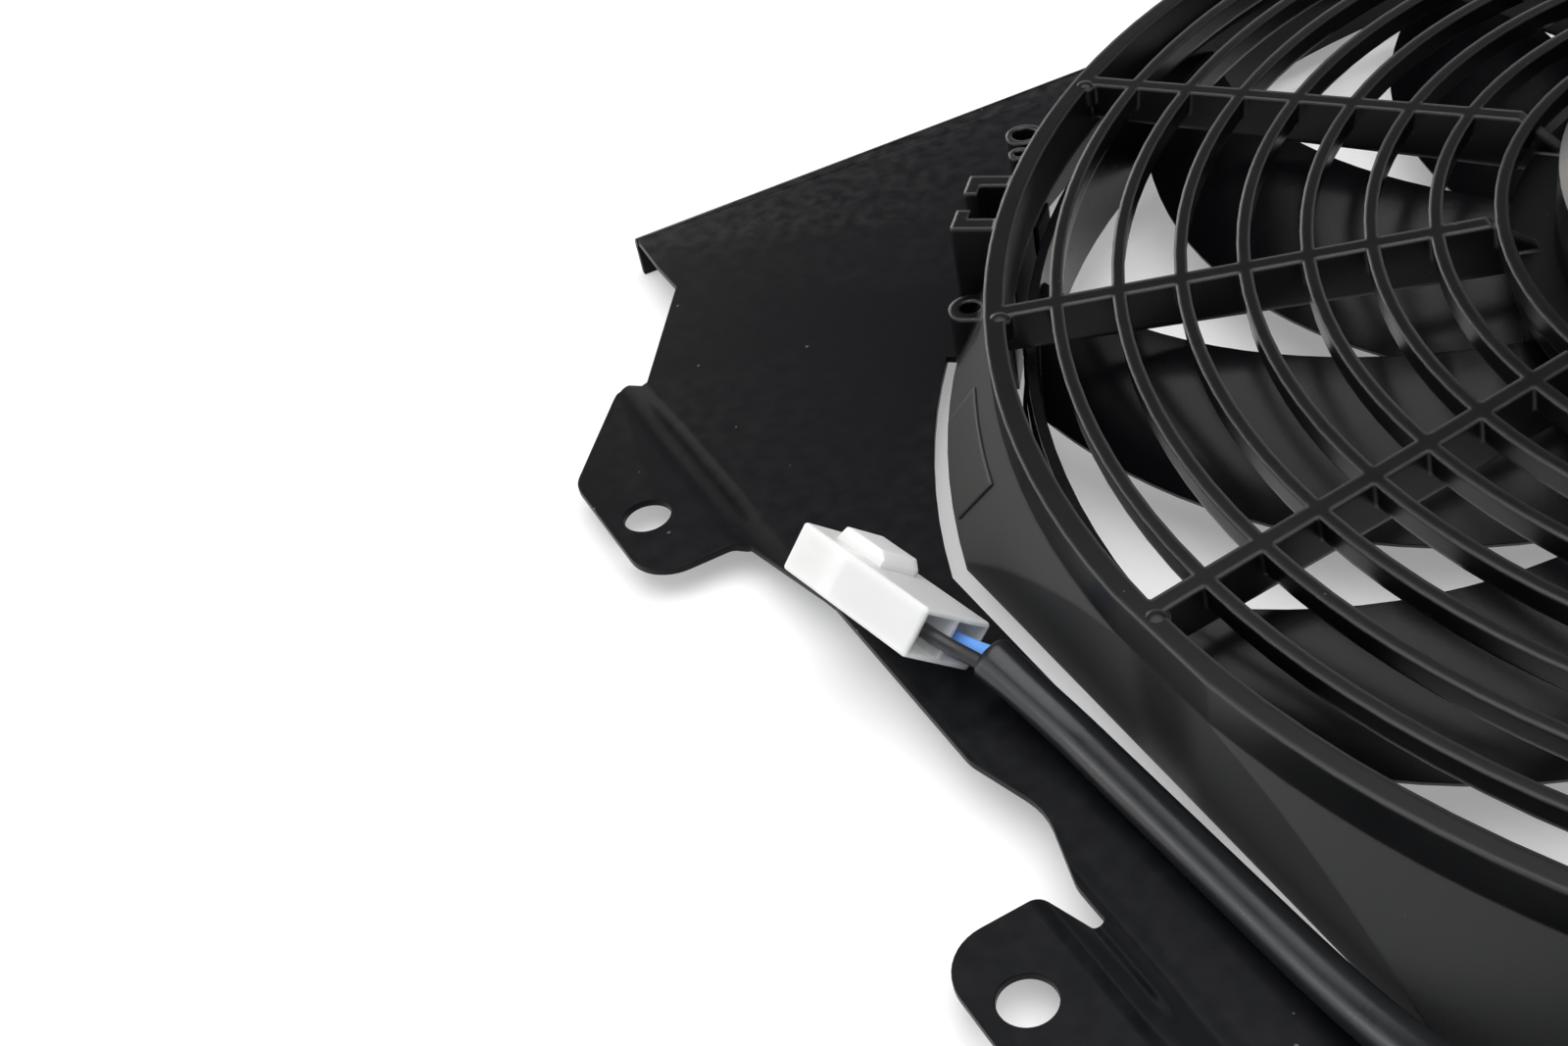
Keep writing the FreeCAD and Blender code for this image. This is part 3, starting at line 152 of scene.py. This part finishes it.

# Each finish: name, CAD nodes, colour, colour of lighter edges (partly worn, partly a painted
# highlight), roughness, and what else isn't as usual.
FINISHES = [
    ("powder_coat", ["shroud_plate"], (0.0042, 0.0046, 0.0058), (0.05, 0.05, 0.052), 0.36,
     dict(specular=0.09, round_off=0.0, folds=True, grain=0.0005, depth=0.000007, spread=0.004,
          cloud=0.04, specks=(0.0035, 0.035, 0.10))),
    ("moulded_black", ["fan_frame"], (0.0028, 0.0030, 0.0036), (0.022, 0.023, 0.025), 0.31,
     dict(specular=0.30, round_off=0.0014, edge_wear_and_highlight_share=0.1, grain=0.0004, depth=0.000006, spread=0.02,
          cloud=0.1, flank=(0.021, 0.0215, 0.0225), specks=(0.0022, 0.03, 0.05))),
    ("rotor_black", ["fan_rotor"], (0.0030, 0.0032, 0.0040), (0.020, 0.020, 0.021), 0.26,
     dict(specular=0.2, spread=0.02, cloud=0.1)),
    ("can_paint", ["motor_can"], (0.0060, 0.0062, 0.0070), (0.050, 0.050, 0.050), 0.34,
     dict(spread=0.012, cloud=0.05)),
    ("zinc", ["motor_end_cap", "frame_screws", "frame_washers", "motor_screws", "hub_washer", "hub_nut"],
     (0.55, 0.56, 0.58), (0.75, 0.75, 0.76), 0.32, dict(metallic=1.0)),
    ("steel", ["bearing_front", "bearing_rear", "motor_shaft", "brush_springs", "thrust_washers"],
     (0.50, 0.50, 0.51), (0.7, 0.7, 0.7), 0.22, dict(metallic=1.0)),
    ("core_steel", ["armature_core"], (0.30, 0.30, 0.31), (0.5, 0.5, 0.5), 0.45, dict(metallic=1.0)),
    ("ferrite", ["magnets"], (0.035, 0.035, 0.037), (0.08, 0.08, 0.08), 0.65, {}),
    ("laminate", ["brush_card"], (0.20, 0.11, 0.05), (0.35, 0.25, 0.15), 0.50, {}),
    ("carbon", ["carbon_brushes"], (0.020, 0.020, 0.020), (0.06, 0.06, 0.06), 0.55, {}),
    ("copper", ["armature_coils", "commutator"], (0.75, 0.32, 0.16), (0.9, 0.5, 0.3), 0.28,
     dict(metallic=1.0)),
    ("brass", ["hub_insert", "connector_terminals"], (0.75, 0.58, 0.28), (0.9, 0.75, 0.45), 0.25,
     dict(metallic=1.0)),
    ("rubber", ["lead_grommet"], (0.012, 0.012, 0.012), (0.03, 0.03, 0.03), 0.60, {}),
    ("nylon_white", ["connector_housing"], (0.85, 0.86, 0.85), (0.88, 0.89, 0.88), 0.38,
     dict(round_off=0.0003, cloud=0.02)),
    ("wire_black_skin", ["wire_black"], (0.020, 0.020, 0.022), (0.04, 0.04, 0.04), 0.42, {}),
    ("wire_blue_skin", ["wire_blue"], (0.150, 0.380, 0.920), (0.20, 0.42, 0.93), 0.38,
     dict(round_off=0.0)),
    ("sleeve_skin", [], (0.010, 0.011, 0.013), (0.03, 0.03, 0.03), 0.31, dict(round_off=0.0)),
]

# The floor glows a little for the camera and in reflections, and more with distance from the fan's axis.
FLOOR_HALF = 20.0
FLOOR_CELLS = 8
FLOOR_COLOUR = (0.74, 0.74, 0.74)
FLOOR_ROUGHNESS = 0.9
FLOOR_GLOW_REACH = (0.45, 1.60)
FLOOR_GLOW = (0.30, 1.0)

# The world: its least light, and the band that reflections see in it, as ray heights and strengths.
WORLD_LEVEL = 0.07
BAND_HEIGHTS = (0.12, 0.50)
BAND_LEVELS = (0.9, 0.06)

# Lights: name, place, aim, width, height, watts, colour.
WHITE = (1.0, 1.0, 1.0)
LIGHTS = [
    ("top_light", (-0.1, 0.0, 1.6), (-0.12, 0.05, 0), 2.1, 2.1, 36, WHITE),
    ("left_light", (-1.5, 0.4, 0.6), (-0.1, 0.05, 0), 1.0, 1.0, 5, (0.92, 0.96, 1.0)),
    ("back_light", (-0.8, 1.6, 0.35), (-0.15, 0.1, 0), 2.6, 0.45, 14, (1.0, 0.95, 0.89)),
    ("front_light", (-0.4, -1.5, 0.9), (-0.15, 0.05, 0), 1.4, 1.0, 7, WHITE),
]


# Helpers

def add_object(name, data):
    item = bpy.data.objects.new(name, data)
    bpy.context.scene.collection.objects.link(item)
    return item


def mesh_of(form, name):
    """Turns a finished bmesh into a mesh."""
    mesh = bpy.data.meshes.new(name)
    form.to_mesh(mesh)
    form.free()
    return mesh


def smooth(mesh):
    for face in mesh.polygons:
        face.use_smooth = True


def join_rings(form, rings):
    """Joins each ring of vertices to the next with a band of faces."""
    for lower, upper in zip(rings, rings[1:]):
        for step in range(len(lower)):
            following = (step + 1) % len(lower)
            form.faces.new((lower[step], lower[following], upper[following], upper[step]))


def point_at(item, place, aim, roll=0.0):
    """Puts a camera or a light at a place and turns it to its aim."""
    look = (Vector(aim) - Vector(place)).to_track_quat("-Z", "Y")
    item.rotation_mode = "QUATERNION"
    item.rotation_quaternion = look @ Quaternion((0, 0, 1), roll)
    item.location = place


def rgba(colour):
    return (*colour, 1.0)


# Camera

def make_camera():
    data = bpy.data.cameras.new("camera")
    data.lens = LENS
    data.sensor_width = SENSOR
    camera = add_object("camera", data)
    point_at(camera, CAMERA_PLACE, CAMERA_AIM, CAMERA_ROLL)
    bpy.context.scene.camera = camera


# Plate

def round_plate():
    """Rounds the plate's hard edges with modifiers.

    With the overlap clamp on, the plate's smallest edge would set the width."""
    modifiers = NODES["shroud_plate"].modifiers
    weld = modifiers.new("weld", "WELD")
    weld.merge_threshold = WELD_REACH
    joined = modifiers.new("flat_faces", "DECIMATE")
    joined.decimate_type = "DISSOLVE"
    joined.angle_limit = math.radians(PLATE_FLAT_ANGLE)
    bevel = modifiers.new("round_edges", "BEVEL")
    bevel.width = PLATE_EDGE
    bevel.segments = PLATE_EDGE_SEGMENTS
    bevel.limit_method = "ANGLE"
    bevel.angle_limit = math.radians(PLATE_EDGE_ANGLE)
    bevel.use_clamp_overlap = False
    modifiers.new("normals", "WEIGHTED_NORMAL")


# Frame

def on_cone(azimuth, height, lift=0.0):
    """A place on the frame's sloping flank, lifted off it along its normal."""
    slope = math.atan((CONE_FOOT_RADIUS - CONE_TOP_RADIUS) / (CONE_TOP - CONE_FOOT))
    share = (CONE_TOP - height) / (CONE_TOP - CONE_FOOT)
    radius = CONE_TOP_RADIUS + (CONE_FOOT_RADIUS - CONE_TOP_RADIUS) * share + lift * math.cos(slope)
    turn = math.radians(azimuth)
    return Vector((radius * math.cos(turn), radius * math.sin(turn), height + lift * math.sin(slope)))


def add_ball(form, matrix):
    """Adds a ball of radius 1, moved and squashed by the matrix."""
    rings = []
    for level in range(1, BEAD_RINGS):
        rise = math.pi * level / BEAD_RINGS
        ring = []
        for step in range(BEAD_SEGMENTS):
            turn = 2 * math.pi * step / BEAD_SEGMENTS
            across = (math.sin(rise) * math.cos(turn), math.sin(rise) * math.sin(turn))
            ring.append(form.verts.new(matrix @ Vector((*across, -math.cos(rise)))))
        rings.append(ring)
    join_rings(form, rings)
    foot = form.verts.new(matrix @ Vector((0, 0, -1)))
    head = form.verts.new(matrix @ Vector((0, 0, 1)))
    for step in range(BEAD_SEGMENTS):
        following = (step + 1) % BEAD_SEGMENTS
        form.faces.new((foot, rings[0][following], rings[0][step]))
        form.faces.new((head, rings[-1][step], rings[-1][following]))


def make_beads():
    """The flattened ball at each rib's end."""
    form = bmesh.new()
    even = range(1, RIB_COUNT - len(RIB_DIRECTIONS) + 1)
    directions = RIB_DIRECTIONS + [RIB_DIRECTIONS[-1] + RIB_PITCH * step for step in even]
    offsets = RIB_OFFSETS + [RIB_OFFSET] * len(even)
    squat = Matrix.Diagonal((BEAD_RADIUS, BEAD_RADIUS, BEAD_HEIGHT, 1.0))
    for direction, offset in zip(directions, offsets):
        aside = RIB_HALF_WIDTH - offset
        outward = math.sqrt(BEAD_CIRCLE ** 2 - aside ** 2)
        place = Matrix.Translation((outward, aside, GUARD_TOP - BEAD_DROP))
        turn = Matrix.Rotation(math.radians(direction), 4, "Z")
        add_ball(form, turn @ place @ squat)
    mesh = mesh_of(form, "rib_beads")
    smooth(mesh)
    beads = add_object("rib_beads", mesh)
    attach(beads, "shroud")
    return beads


def make_plaque():
    """The bare raised plaque on the frame's flank: a slanted patch that follows the cone."""
    form = bmesh.new()
    low_ring = []
    high_ring = []
    outline = [(column / PLAQUE_COLUMNS, 0.0) for column in range(PLAQUE_COLUMNS + 1)]
    outline += [(across, 1.0) for across, up in reversed(outline)]
    for across, up in outline:
        azimuth = PLAQUE_START + PLAQUE_ARC * across + PLAQUE_SLANT * up
        height = PLAQUE_FOOT + (PLAQUE_TOP - PLAQUE_FOOT) * up
        low_ring.append(form.verts.new(on_cone(azimuth, height, -PLAQUE_SINK)))
        high_ring.append(form.verts.new(on_cone(azimuth, height, PLAQUE_HEIGHT)))
    count = len(outline)
    for i in range(count):
        following = (i + 1) % count
        form.faces.new((low_ring[i], low_ring[following], high_ring[following], high_ring[i]))
    for i in range(PLAQUE_COLUMNS):
        top = count - 1 - i
        form.faces.new((high_ring[i], high_ring[i + 1], high_ring[top - 1], high_ring[top]))
        form.faces.new((low_ring[i], low_ring[top], low_ring[top - 1], low_ring[i + 1]))
    bmesh.ops.recalc_face_normals(form, faces=form.faces)
    mesh = mesh_of(form, "plaque")
    smooth(mesh)
    mesh.set_sharp_from_angle(angle=math.radians(PLAQUE_SHARP_ANGLE))
    plaque = add_object("plaque", mesh)
    bevel = plaque.modifiers.new("round_edges", "BEVEL")
    bevel.width = PLAQUE_EDGE
    bevel.segments = PLAQUE_EDGE_SEGMENTS
    bevel.angle_limit = math.radians(PLAQUE_EDGE_ANGLE)
    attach(plaque, "shroud")
    return plaque


# Lead

def read_line(points):
    """The points that the smooth curve with these control points runs through."""
    data = bpy.data.curves.new("route", "CURVE")
    data.dimensions = "3D"
    spline = data.splines.new("NURBS")
    spline.points.add(len(points) - 1)
    for knot, place in zip(spline.points, points):
        knot.co = (*place, 1.0)
    spline.use_endpoint_u = True
    spline.order_u = 3
    spline.resolution_u = ROUTE_RESOLUTION
    item = add_object("route", data)
    mesh = bpy.data.meshes.new_from_object(item)
    line = [vertex.co.copy() for vertex in mesh.vertices]
    bpy.data.objects.remove(item)
    return line


def sleeve_rings(form, line):
    """Rings of vertices along the line, wider and flatter at its end, and the way that the end faces."""
    total = sum((b - a).length for a, b in zip(line, line[1:]))
    rings = []
    side = None
    gone = 0.0
    for i, place in enumerate(line):
        before = line[max(i - 1, 0)]
        after = line[min(i + 1, len(line) - 1)]
        way = (after - before).normalized()
        if side is None:
            side = way.cross(Vector((0, 0, 1))).normalized()
        side = (side - way * side.dot(way)).normalized()
        up = way.cross(side)
        if i:
            gone += (place - before).length
        flare = max(0.0, (gone / total - FLARE_START) / (1 - FLARE_START)) ** 2
        wide = SLEEVE_DIAMETER / 2 * (1 + FLARE_WIDER * flare)
        high = SLEEVE_DIAMETER / 2 * (1 - FLARE_FLATTER * flare)
        ring = []
        for step in range(TUBE_SIDES):
            turn = 2 * math.pi * step / TUBE_SIDES
            spot = place + side * wide * math.cos(turn) + up * high * math.sin(turn)
            ring.append(form.verts.new(spot))
        rings.append(ring)
    return rings, way


def make_sleeve():
    """The sleeve, open and a little wider at its mouth, where the wires go in."""
    line = read_line(SLEEVE_ROUTE)
    form = bmesh.new()
    rings, way = sleeve_rings(form, line)
    rim = rings[-1]
    for inset, back in MOUTH_LIP:
        ring = []
        for vertex in rim:
            outward = vertex.co - line[-1]
            spot = line[-1] + outward * (1 - inset * MOUTH_WALL / outward.length) - way * back
            ring.append(form.verts.new(spot))
        rings.append(ring)
    join_rings(form, rings)
    form.faces.new(rings[0][::-1])
    form.faces.new(rings[-1])
    mesh = mesh_of(form, "sleeve")
    smooth(mesh)
    sleeve = add_object("sleeve", mesh)
    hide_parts("lead_sleeve")
    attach(sleeve, "shroud")
    return sleeve


# Materials

class Tree:
    """The nodes of a material or a world, added one at a time and linked by socket."""

    def __init__(self, owner):
        owner.use_nodes = True
        self.nodes = owner.node_tree.nodes
        self.links = owner.node_tree.links

    def add(self, kind, inputs=None, **settings):
        node = self.nodes.new(kind)
        for key, value in settings.items():
            setattr(node, key, value)
        for key, value in (inputs or {}).items():
            self.put(node, key, value)
        return node

    def put(self, node, key, value):
        """Links a socket to an input, or sets the input to a value."""
        if isinstance(value, bpy.types.NodeSocket):
            self.links.new(value, node.inputs[key])
        else:
            node.inputs[key].default_value = value

    def remap(self, value, low, high, new_low, new_high, **settings):
        node = self.add("ShaderNodeMapRange", {"Value": value, "From Min": low, "From Max": high,
                                               "To Min": new_low, "To Max": new_high}, **settings)
        return node.outputs["Result"]

    def maths(self, kind, *values):
        return self.add("ShaderNodeMath", dict(enumerate(values)), operation=kind).outputs[0]

    def axes(self, vector):
        """The X, Y and Z of a vector."""
        return self.add("ShaderNodeSeparateXYZ", {"Vector": vector}).outputs

    def length(self, vector):
        return self.add("ShaderNodeVectorMath", {0: vector}, operation="LENGTH").outputs["Value"]

    def coordinates(self, kind):
        return self.add("ShaderNodeTexCoord").outputs[kind]


class Finish(Tree):
    """A procedural material for a piece."""

    def __init__(self, name):
        self.material = bpy.data.materials.new(name)
        super().__init__(self.material)
        self.shader = self.nodes["Principled BSDF"]
        self.place = self.coordinates("Object")

    def set(self, key, value):
        self.put(self.shader, key, value)

    def noise(self, size, detail=3.0, roughness=0.5):
        """Noise whose blobs are about one size across, in metres."""
        node = self.add("ShaderNodeTexNoise", {"Vector": self.place, "Scale": 1 / size,
                                               "Detail": detail, "Roughness": roughness})
        return node.outputs["Fac"]

    def blend(self, factor, first, second):
        node = self.add("ShaderNodeMix", {0: factor, 6: first, 7: second}, data_type="RGBA")
        return node.outputs[2]

    def edges(self, radius):
        """Normals that are rounded near edges, and how near an edge is, from 0 to 1."""
        geometry = self.add("ShaderNodeNewGeometry").outputs
        if not radius:
            return geometry["Normal"], self.remap(geometry["Pointiness"], *POINTED_SPAN, 0.0, 1.0)
        rounded = self.add("ShaderNodeBevel", {"Radius": radius}, samples=BEVEL_SAMPLES).outputs[0]
        cosine = self.add("ShaderNodeVectorMath", {0: rounded, 1: geometry["Normal"]},
                          operation="DOT_PRODUCT").outputs["Value"]
        return rounded, self.remap(cosine, 1.0, FULL_EDGE_COSINE, 0.0, 1.0)

    def bump(self, height, depth, normal):
        node = self.add("ShaderNodeBump", {"Height": height, "Strength": GRAIN_STRENGTH,
                                           "Distance": depth, "Normal": normal})
        return node.outputs[0]

    def on_flank(self):
        """1 on the frame's sloping flank, and 0 on its wall, guard, lugs and bosses."""
        flat = self.add("ShaderNodeMapping", {"Vector": self.place, "Scale": (1, 1, 0)}).outputs[0]
        reach = self.length(flat)
        height = self.axes(self.place)["Z"]
        cone = self.remap(height, CONE_FOOT, CONE_TOP, CONE_FOOT_RADIUS, CONE_TOP_RADIUS)
        beyond_wall = self.remap(reach, *WALL_SPAN, 0.0, 1.0)
        within_cone = self.remap(self.maths("SUBTRACT", reach, cone), *OFF_CONE_SPAN, 1.0, 0.0)
        under_wall = self.remap(height, *OVER_CONE_SPAN, 1.0, 0.0)
        return self.maths("MULTIPLY", self.maths("MULTIPLY", beyond_wall, within_cone), under_wall)

    def specks(self, size, share):
        """Small dots, one to a cell, in that share of the cells."""
        cell = self.add("ShaderNodeTexVoronoi", {"Vector": self.place, "Scale": 1 / size}).outputs
        split = self.add("ShaderNodeSeparateColor", {"Color": cell["Color"]}).outputs
        dot = self.maths("LESS_THAN", cell["Distance"], SPECK_RADIUS)
        return self.maths("MULTIPLY", dot, self.maths("LESS_THAN", split[0], share))

    def fold_level(self, share, points):
        """A fold's profile, read at a share of the way across it."""
        curve = self.add("ShaderNodeFloatCurve", {"Value": share})
        line = curve.mapping.curves[0]
        for place, value in points[1:-1]:
            line.points.new(place, value)
        line.points[0].location = points[0]
        line.points[-1].location = points[-1]
        curve.mapping.update()
        return curve.outputs["Value"]

    def folded(self, normal):
        """Rounds the folds beside the tabs: the normal tips outwards by the profile across the fold."""
        place = self.axes(self.place)
        reach = self.maths("ABSOLUTE", place["X"])
        half_pitch = TAB_PITCH / 2
        from_hole = self.maths("SUBTRACT", place["Y"], TAB_HOLE_Y)
        along = self.maths("WRAP", from_hole, half_pitch, -half_pitch)
        grooved = self.maths("MULTIPLY", self.remap(along, *GROOVE_STARTS, 0.0, 1.0),
                             self.remap(along, *GROOVE_ENDS, 0.0, 1.0))
        share = self.remap(reach, FOLD_START, FOLD_END, 0.0, 1.0)
        plain_level = self.fold_level(share, FOLD_PLAIN)
        grooved_level = self.fold_level(share, FOLD_GROOVED)
        level = self.add("ShaderNodeMix", {0: grooved, 2: plain_level, 3: grooved_level},
                         data_type="FLOAT").outputs[0]
        tip = self.maths("MULTIPLY", self.maths("SUBTRACT", level, 0.5), 2.0)
        tip = self.maths("MULTIPLY", tip, self.maths("SIGN", place["X"]))
        bent = self.add("ShaderNodeCombineXYZ", {"X": tip, "Z": 1.0}).outputs[0]
        unit = self.add("ShaderNodeVectorMath", {0: bent}, operation="NORMALIZE").outputs[0]
        on_top = self.maths("GREATER_THAN", self.axes(normal)["Z"], TOP_FACE)
        in_fold = self.maths("MULTIPLY", self.maths("GREATER_THAN", reach, FOLD_START),
                             self.maths("LESS_THAN", reach, FOLD_END))
        bend = self.maths("MULTIPLY", on_top, in_fold)
        return self.add("ShaderNodeMix", {0: bend, 4: normal, 5: unit}, data_type="VECTOR").outputs[1]


def make_finish(name, colour, edge_wear_and_highlight, roughness, metallic=0.0, specular=0.5, round_off=0.0004,
                edge_wear_and_highlight_share=0.5, grain=0.0006, depth=0.00003, spread=0.04, cloud=0.15, folds=False,
                flank=None, specks=None):
    """A surface with cloudy colour and roughness, fine grain, and edges that are rounded and lighter,
    partly as wear and partly as a painted highlight.

    specks is (cell size, share of cells, grey), and flank is the colour of the frame's rougher flank."""
    finish = Finish(name)
    normal, near = finish.edges(round_off)
    if folds:
        normal = finish.folded(normal)
    dark = [channel * (1 - cloud) for channel in colour]
    light = [channel * (1 + cloud) for channel in colour]
    base = finish.blend(finish.noise(CLOUD_SIZE, CLOUD_DETAIL), rgba(dark), rgba(light))
    # Edges take a lighter colour in patches: partly edge wear, partly a painted highlight along the
    # edges.
    patches = finish.remap(finish.noise(EDGE_PATCH_SIZE), *EDGE_PATCH_SPAN, 0.0, edge_wear_and_highlight_share)
    base = finish.blend(finish.maths("MULTIPLY", near, patches), base, rgba(edge_wear_and_highlight))
    mottle = finish.noise(MOTTLE_SIZE)
    rough = finish.remap(mottle, *MOTTLE_SPAN, roughness - spread, roughness + spread)
    if flank:
        outside = finish.on_flank()
        base = finish.blend(outside, base, rgba(flank))
        rough = finish.maths("MAXIMUM", rough, finish.maths("MULTIPLY", outside, FLANK_ROUGHNESS))
        depth = finish.remap(outside, 0.0, 1.0, depth, FLANK_GRAIN_DEPTH)
        specular = finish.remap(near, 0.0, 1.0, specular, FRAME_EDGE_SPECULAR)
    if specks:
        size, share, grey = specks
        base = finish.blend(finish.specks(size, share), base, rgba((grey, grey, grey)))
    finish.set("Base Color", base)
    finish.set("Metallic", metallic)
    finish.set("Specular IOR Level", specular)
    finish.set("Roughness", rough)
    fine = finish.noise(grain, GRAIN_DETAIL, GRAIN_ROUGHNESS)
    finish.set("Normal", finish.bump(fine, depth, normal))
    return finish


def make_finishes():
    """Dresses the CAD nodes and gives all the finishes by name."""
    finishes = {}
    for name, nodes, colour, edge_wear_and_highlight, roughness, others in FINISHES:
        finish = make_finish(name, colour, edge_wear_and_highlight, roughness, **others)
        for node in nodes:
            data = NODES[node].data
            data.materials.clear()
            data.materials.append(finish.material)
        finishes[name] = finish
    nylon = finishes["nylon_white"]
    nylon.set("Subsurface Weight", NYLON_GLOW)
    nylon.set("Subsurface Scale", 1.0)
    nylon.set("Subsurface Radius", (NYLON_GLOW_REACH, NYLON_GLOW_REACH, NYLON_GLOW_REACH))
    return finishes


# Floor and lights

def make_floor():
    form = bmesh.new()
    bmesh.ops.create_grid(form, x_segments=FLOOR_CELLS, y_segments=FLOOR_CELLS, size=FLOOR_HALF)
    mesh = mesh_of(form, "floor")
    floor = add_object("floor", mesh)
    material = bpy.data.materials.new("floor")
    tree = Tree(material)
    shader = tree.nodes["Principled BSDF"]
    tree.put(shader, "Base Color", rgba(FLOOR_COLOUR))
    tree.put(shader, "Roughness", FLOOR_ROUGHNESS)
    tree.put(shader, "Specular IOR Level", 0.0)
    path = tree.add("ShaderNodeLightPath").outputs
    seen = tree.maths("MAXIMUM", path["Is Camera Ray"], path["Is Glossy Ray"])
    seen = tree.maths("MAXIMUM", seen, path["Is Transmission Ray"])
    reach = tree.length(tree.coordinates("Object"))
    fade = tree.remap(reach, *FLOOR_GLOW_REACH, *FLOOR_GLOW, interpolation_type="SMOOTHSTEP")
    glow = tree.add("ShaderNodeEmission", {"Strength": tree.maths("MULTIPLY", seen, fade)})
    both = tree.add("ShaderNodeAddShader", {0: shader.outputs[0], 1: glow.outputs[0]})
    tree.put(tree.nodes["Material Output"], "Surface", both.outputs[0])
    mesh.materials.append(material)


def make_world():
    """A faint even light. The camera sees white, and reflections see a white band at the horizon."""
    world = bpy.data.worlds.new("world")
    bpy.context.scene.world = world
    tree = Tree(world)
    path = tree.add("ShaderNodeLightPath").outputs
    height = tree.axes(tree.coordinates("Generated"))["Z"]
    band = tree.remap(height, *BAND_HEIGHTS, *BAND_LEVELS, interpolation_type="SMOOTHSTEP")
    mirrored = tree.maths("MULTIPLY", path["Is Glossy Ray"], band)
    seen = tree.maths("MAXIMUM", path["Is Camera Ray"], path["Is Transmission Ray"])
    level = tree.maths("MAXIMUM", tree.maths("MAXIMUM", seen, mirrored), WORLD_LEVEL)
    background = tree.nodes["Background"]
    tree.put(background, "Color", rgba(WHITE))
    tree.put(background, "Strength", level)


def make_lights():
    for name, place, aim, width, height, watts, colour in LIGHTS:
        data = bpy.data.lights.new(name, "AREA")
        data.color = colour
        data.shape = "RECTANGLE"
        data.size = width
        data.size_y = height
        data.energy = watts
        point_at(add_object(name, data), place, aim)
    make_world()
    bpy.context.scene.view_settings.view_transform = "Standard"


make_camera()
round_plate()
sleeve = make_sleeve()
plaque = make_plaque()
beads = make_beads()
finishes = make_finishes()
sleeve.data.materials.append(finishes["sleeve_skin"].material)
plaque.data.materials.append(finishes["moulded_black"].material)
beads.data.materials.append(finishes["moulded_black"].material)
make_floor()
make_lights()
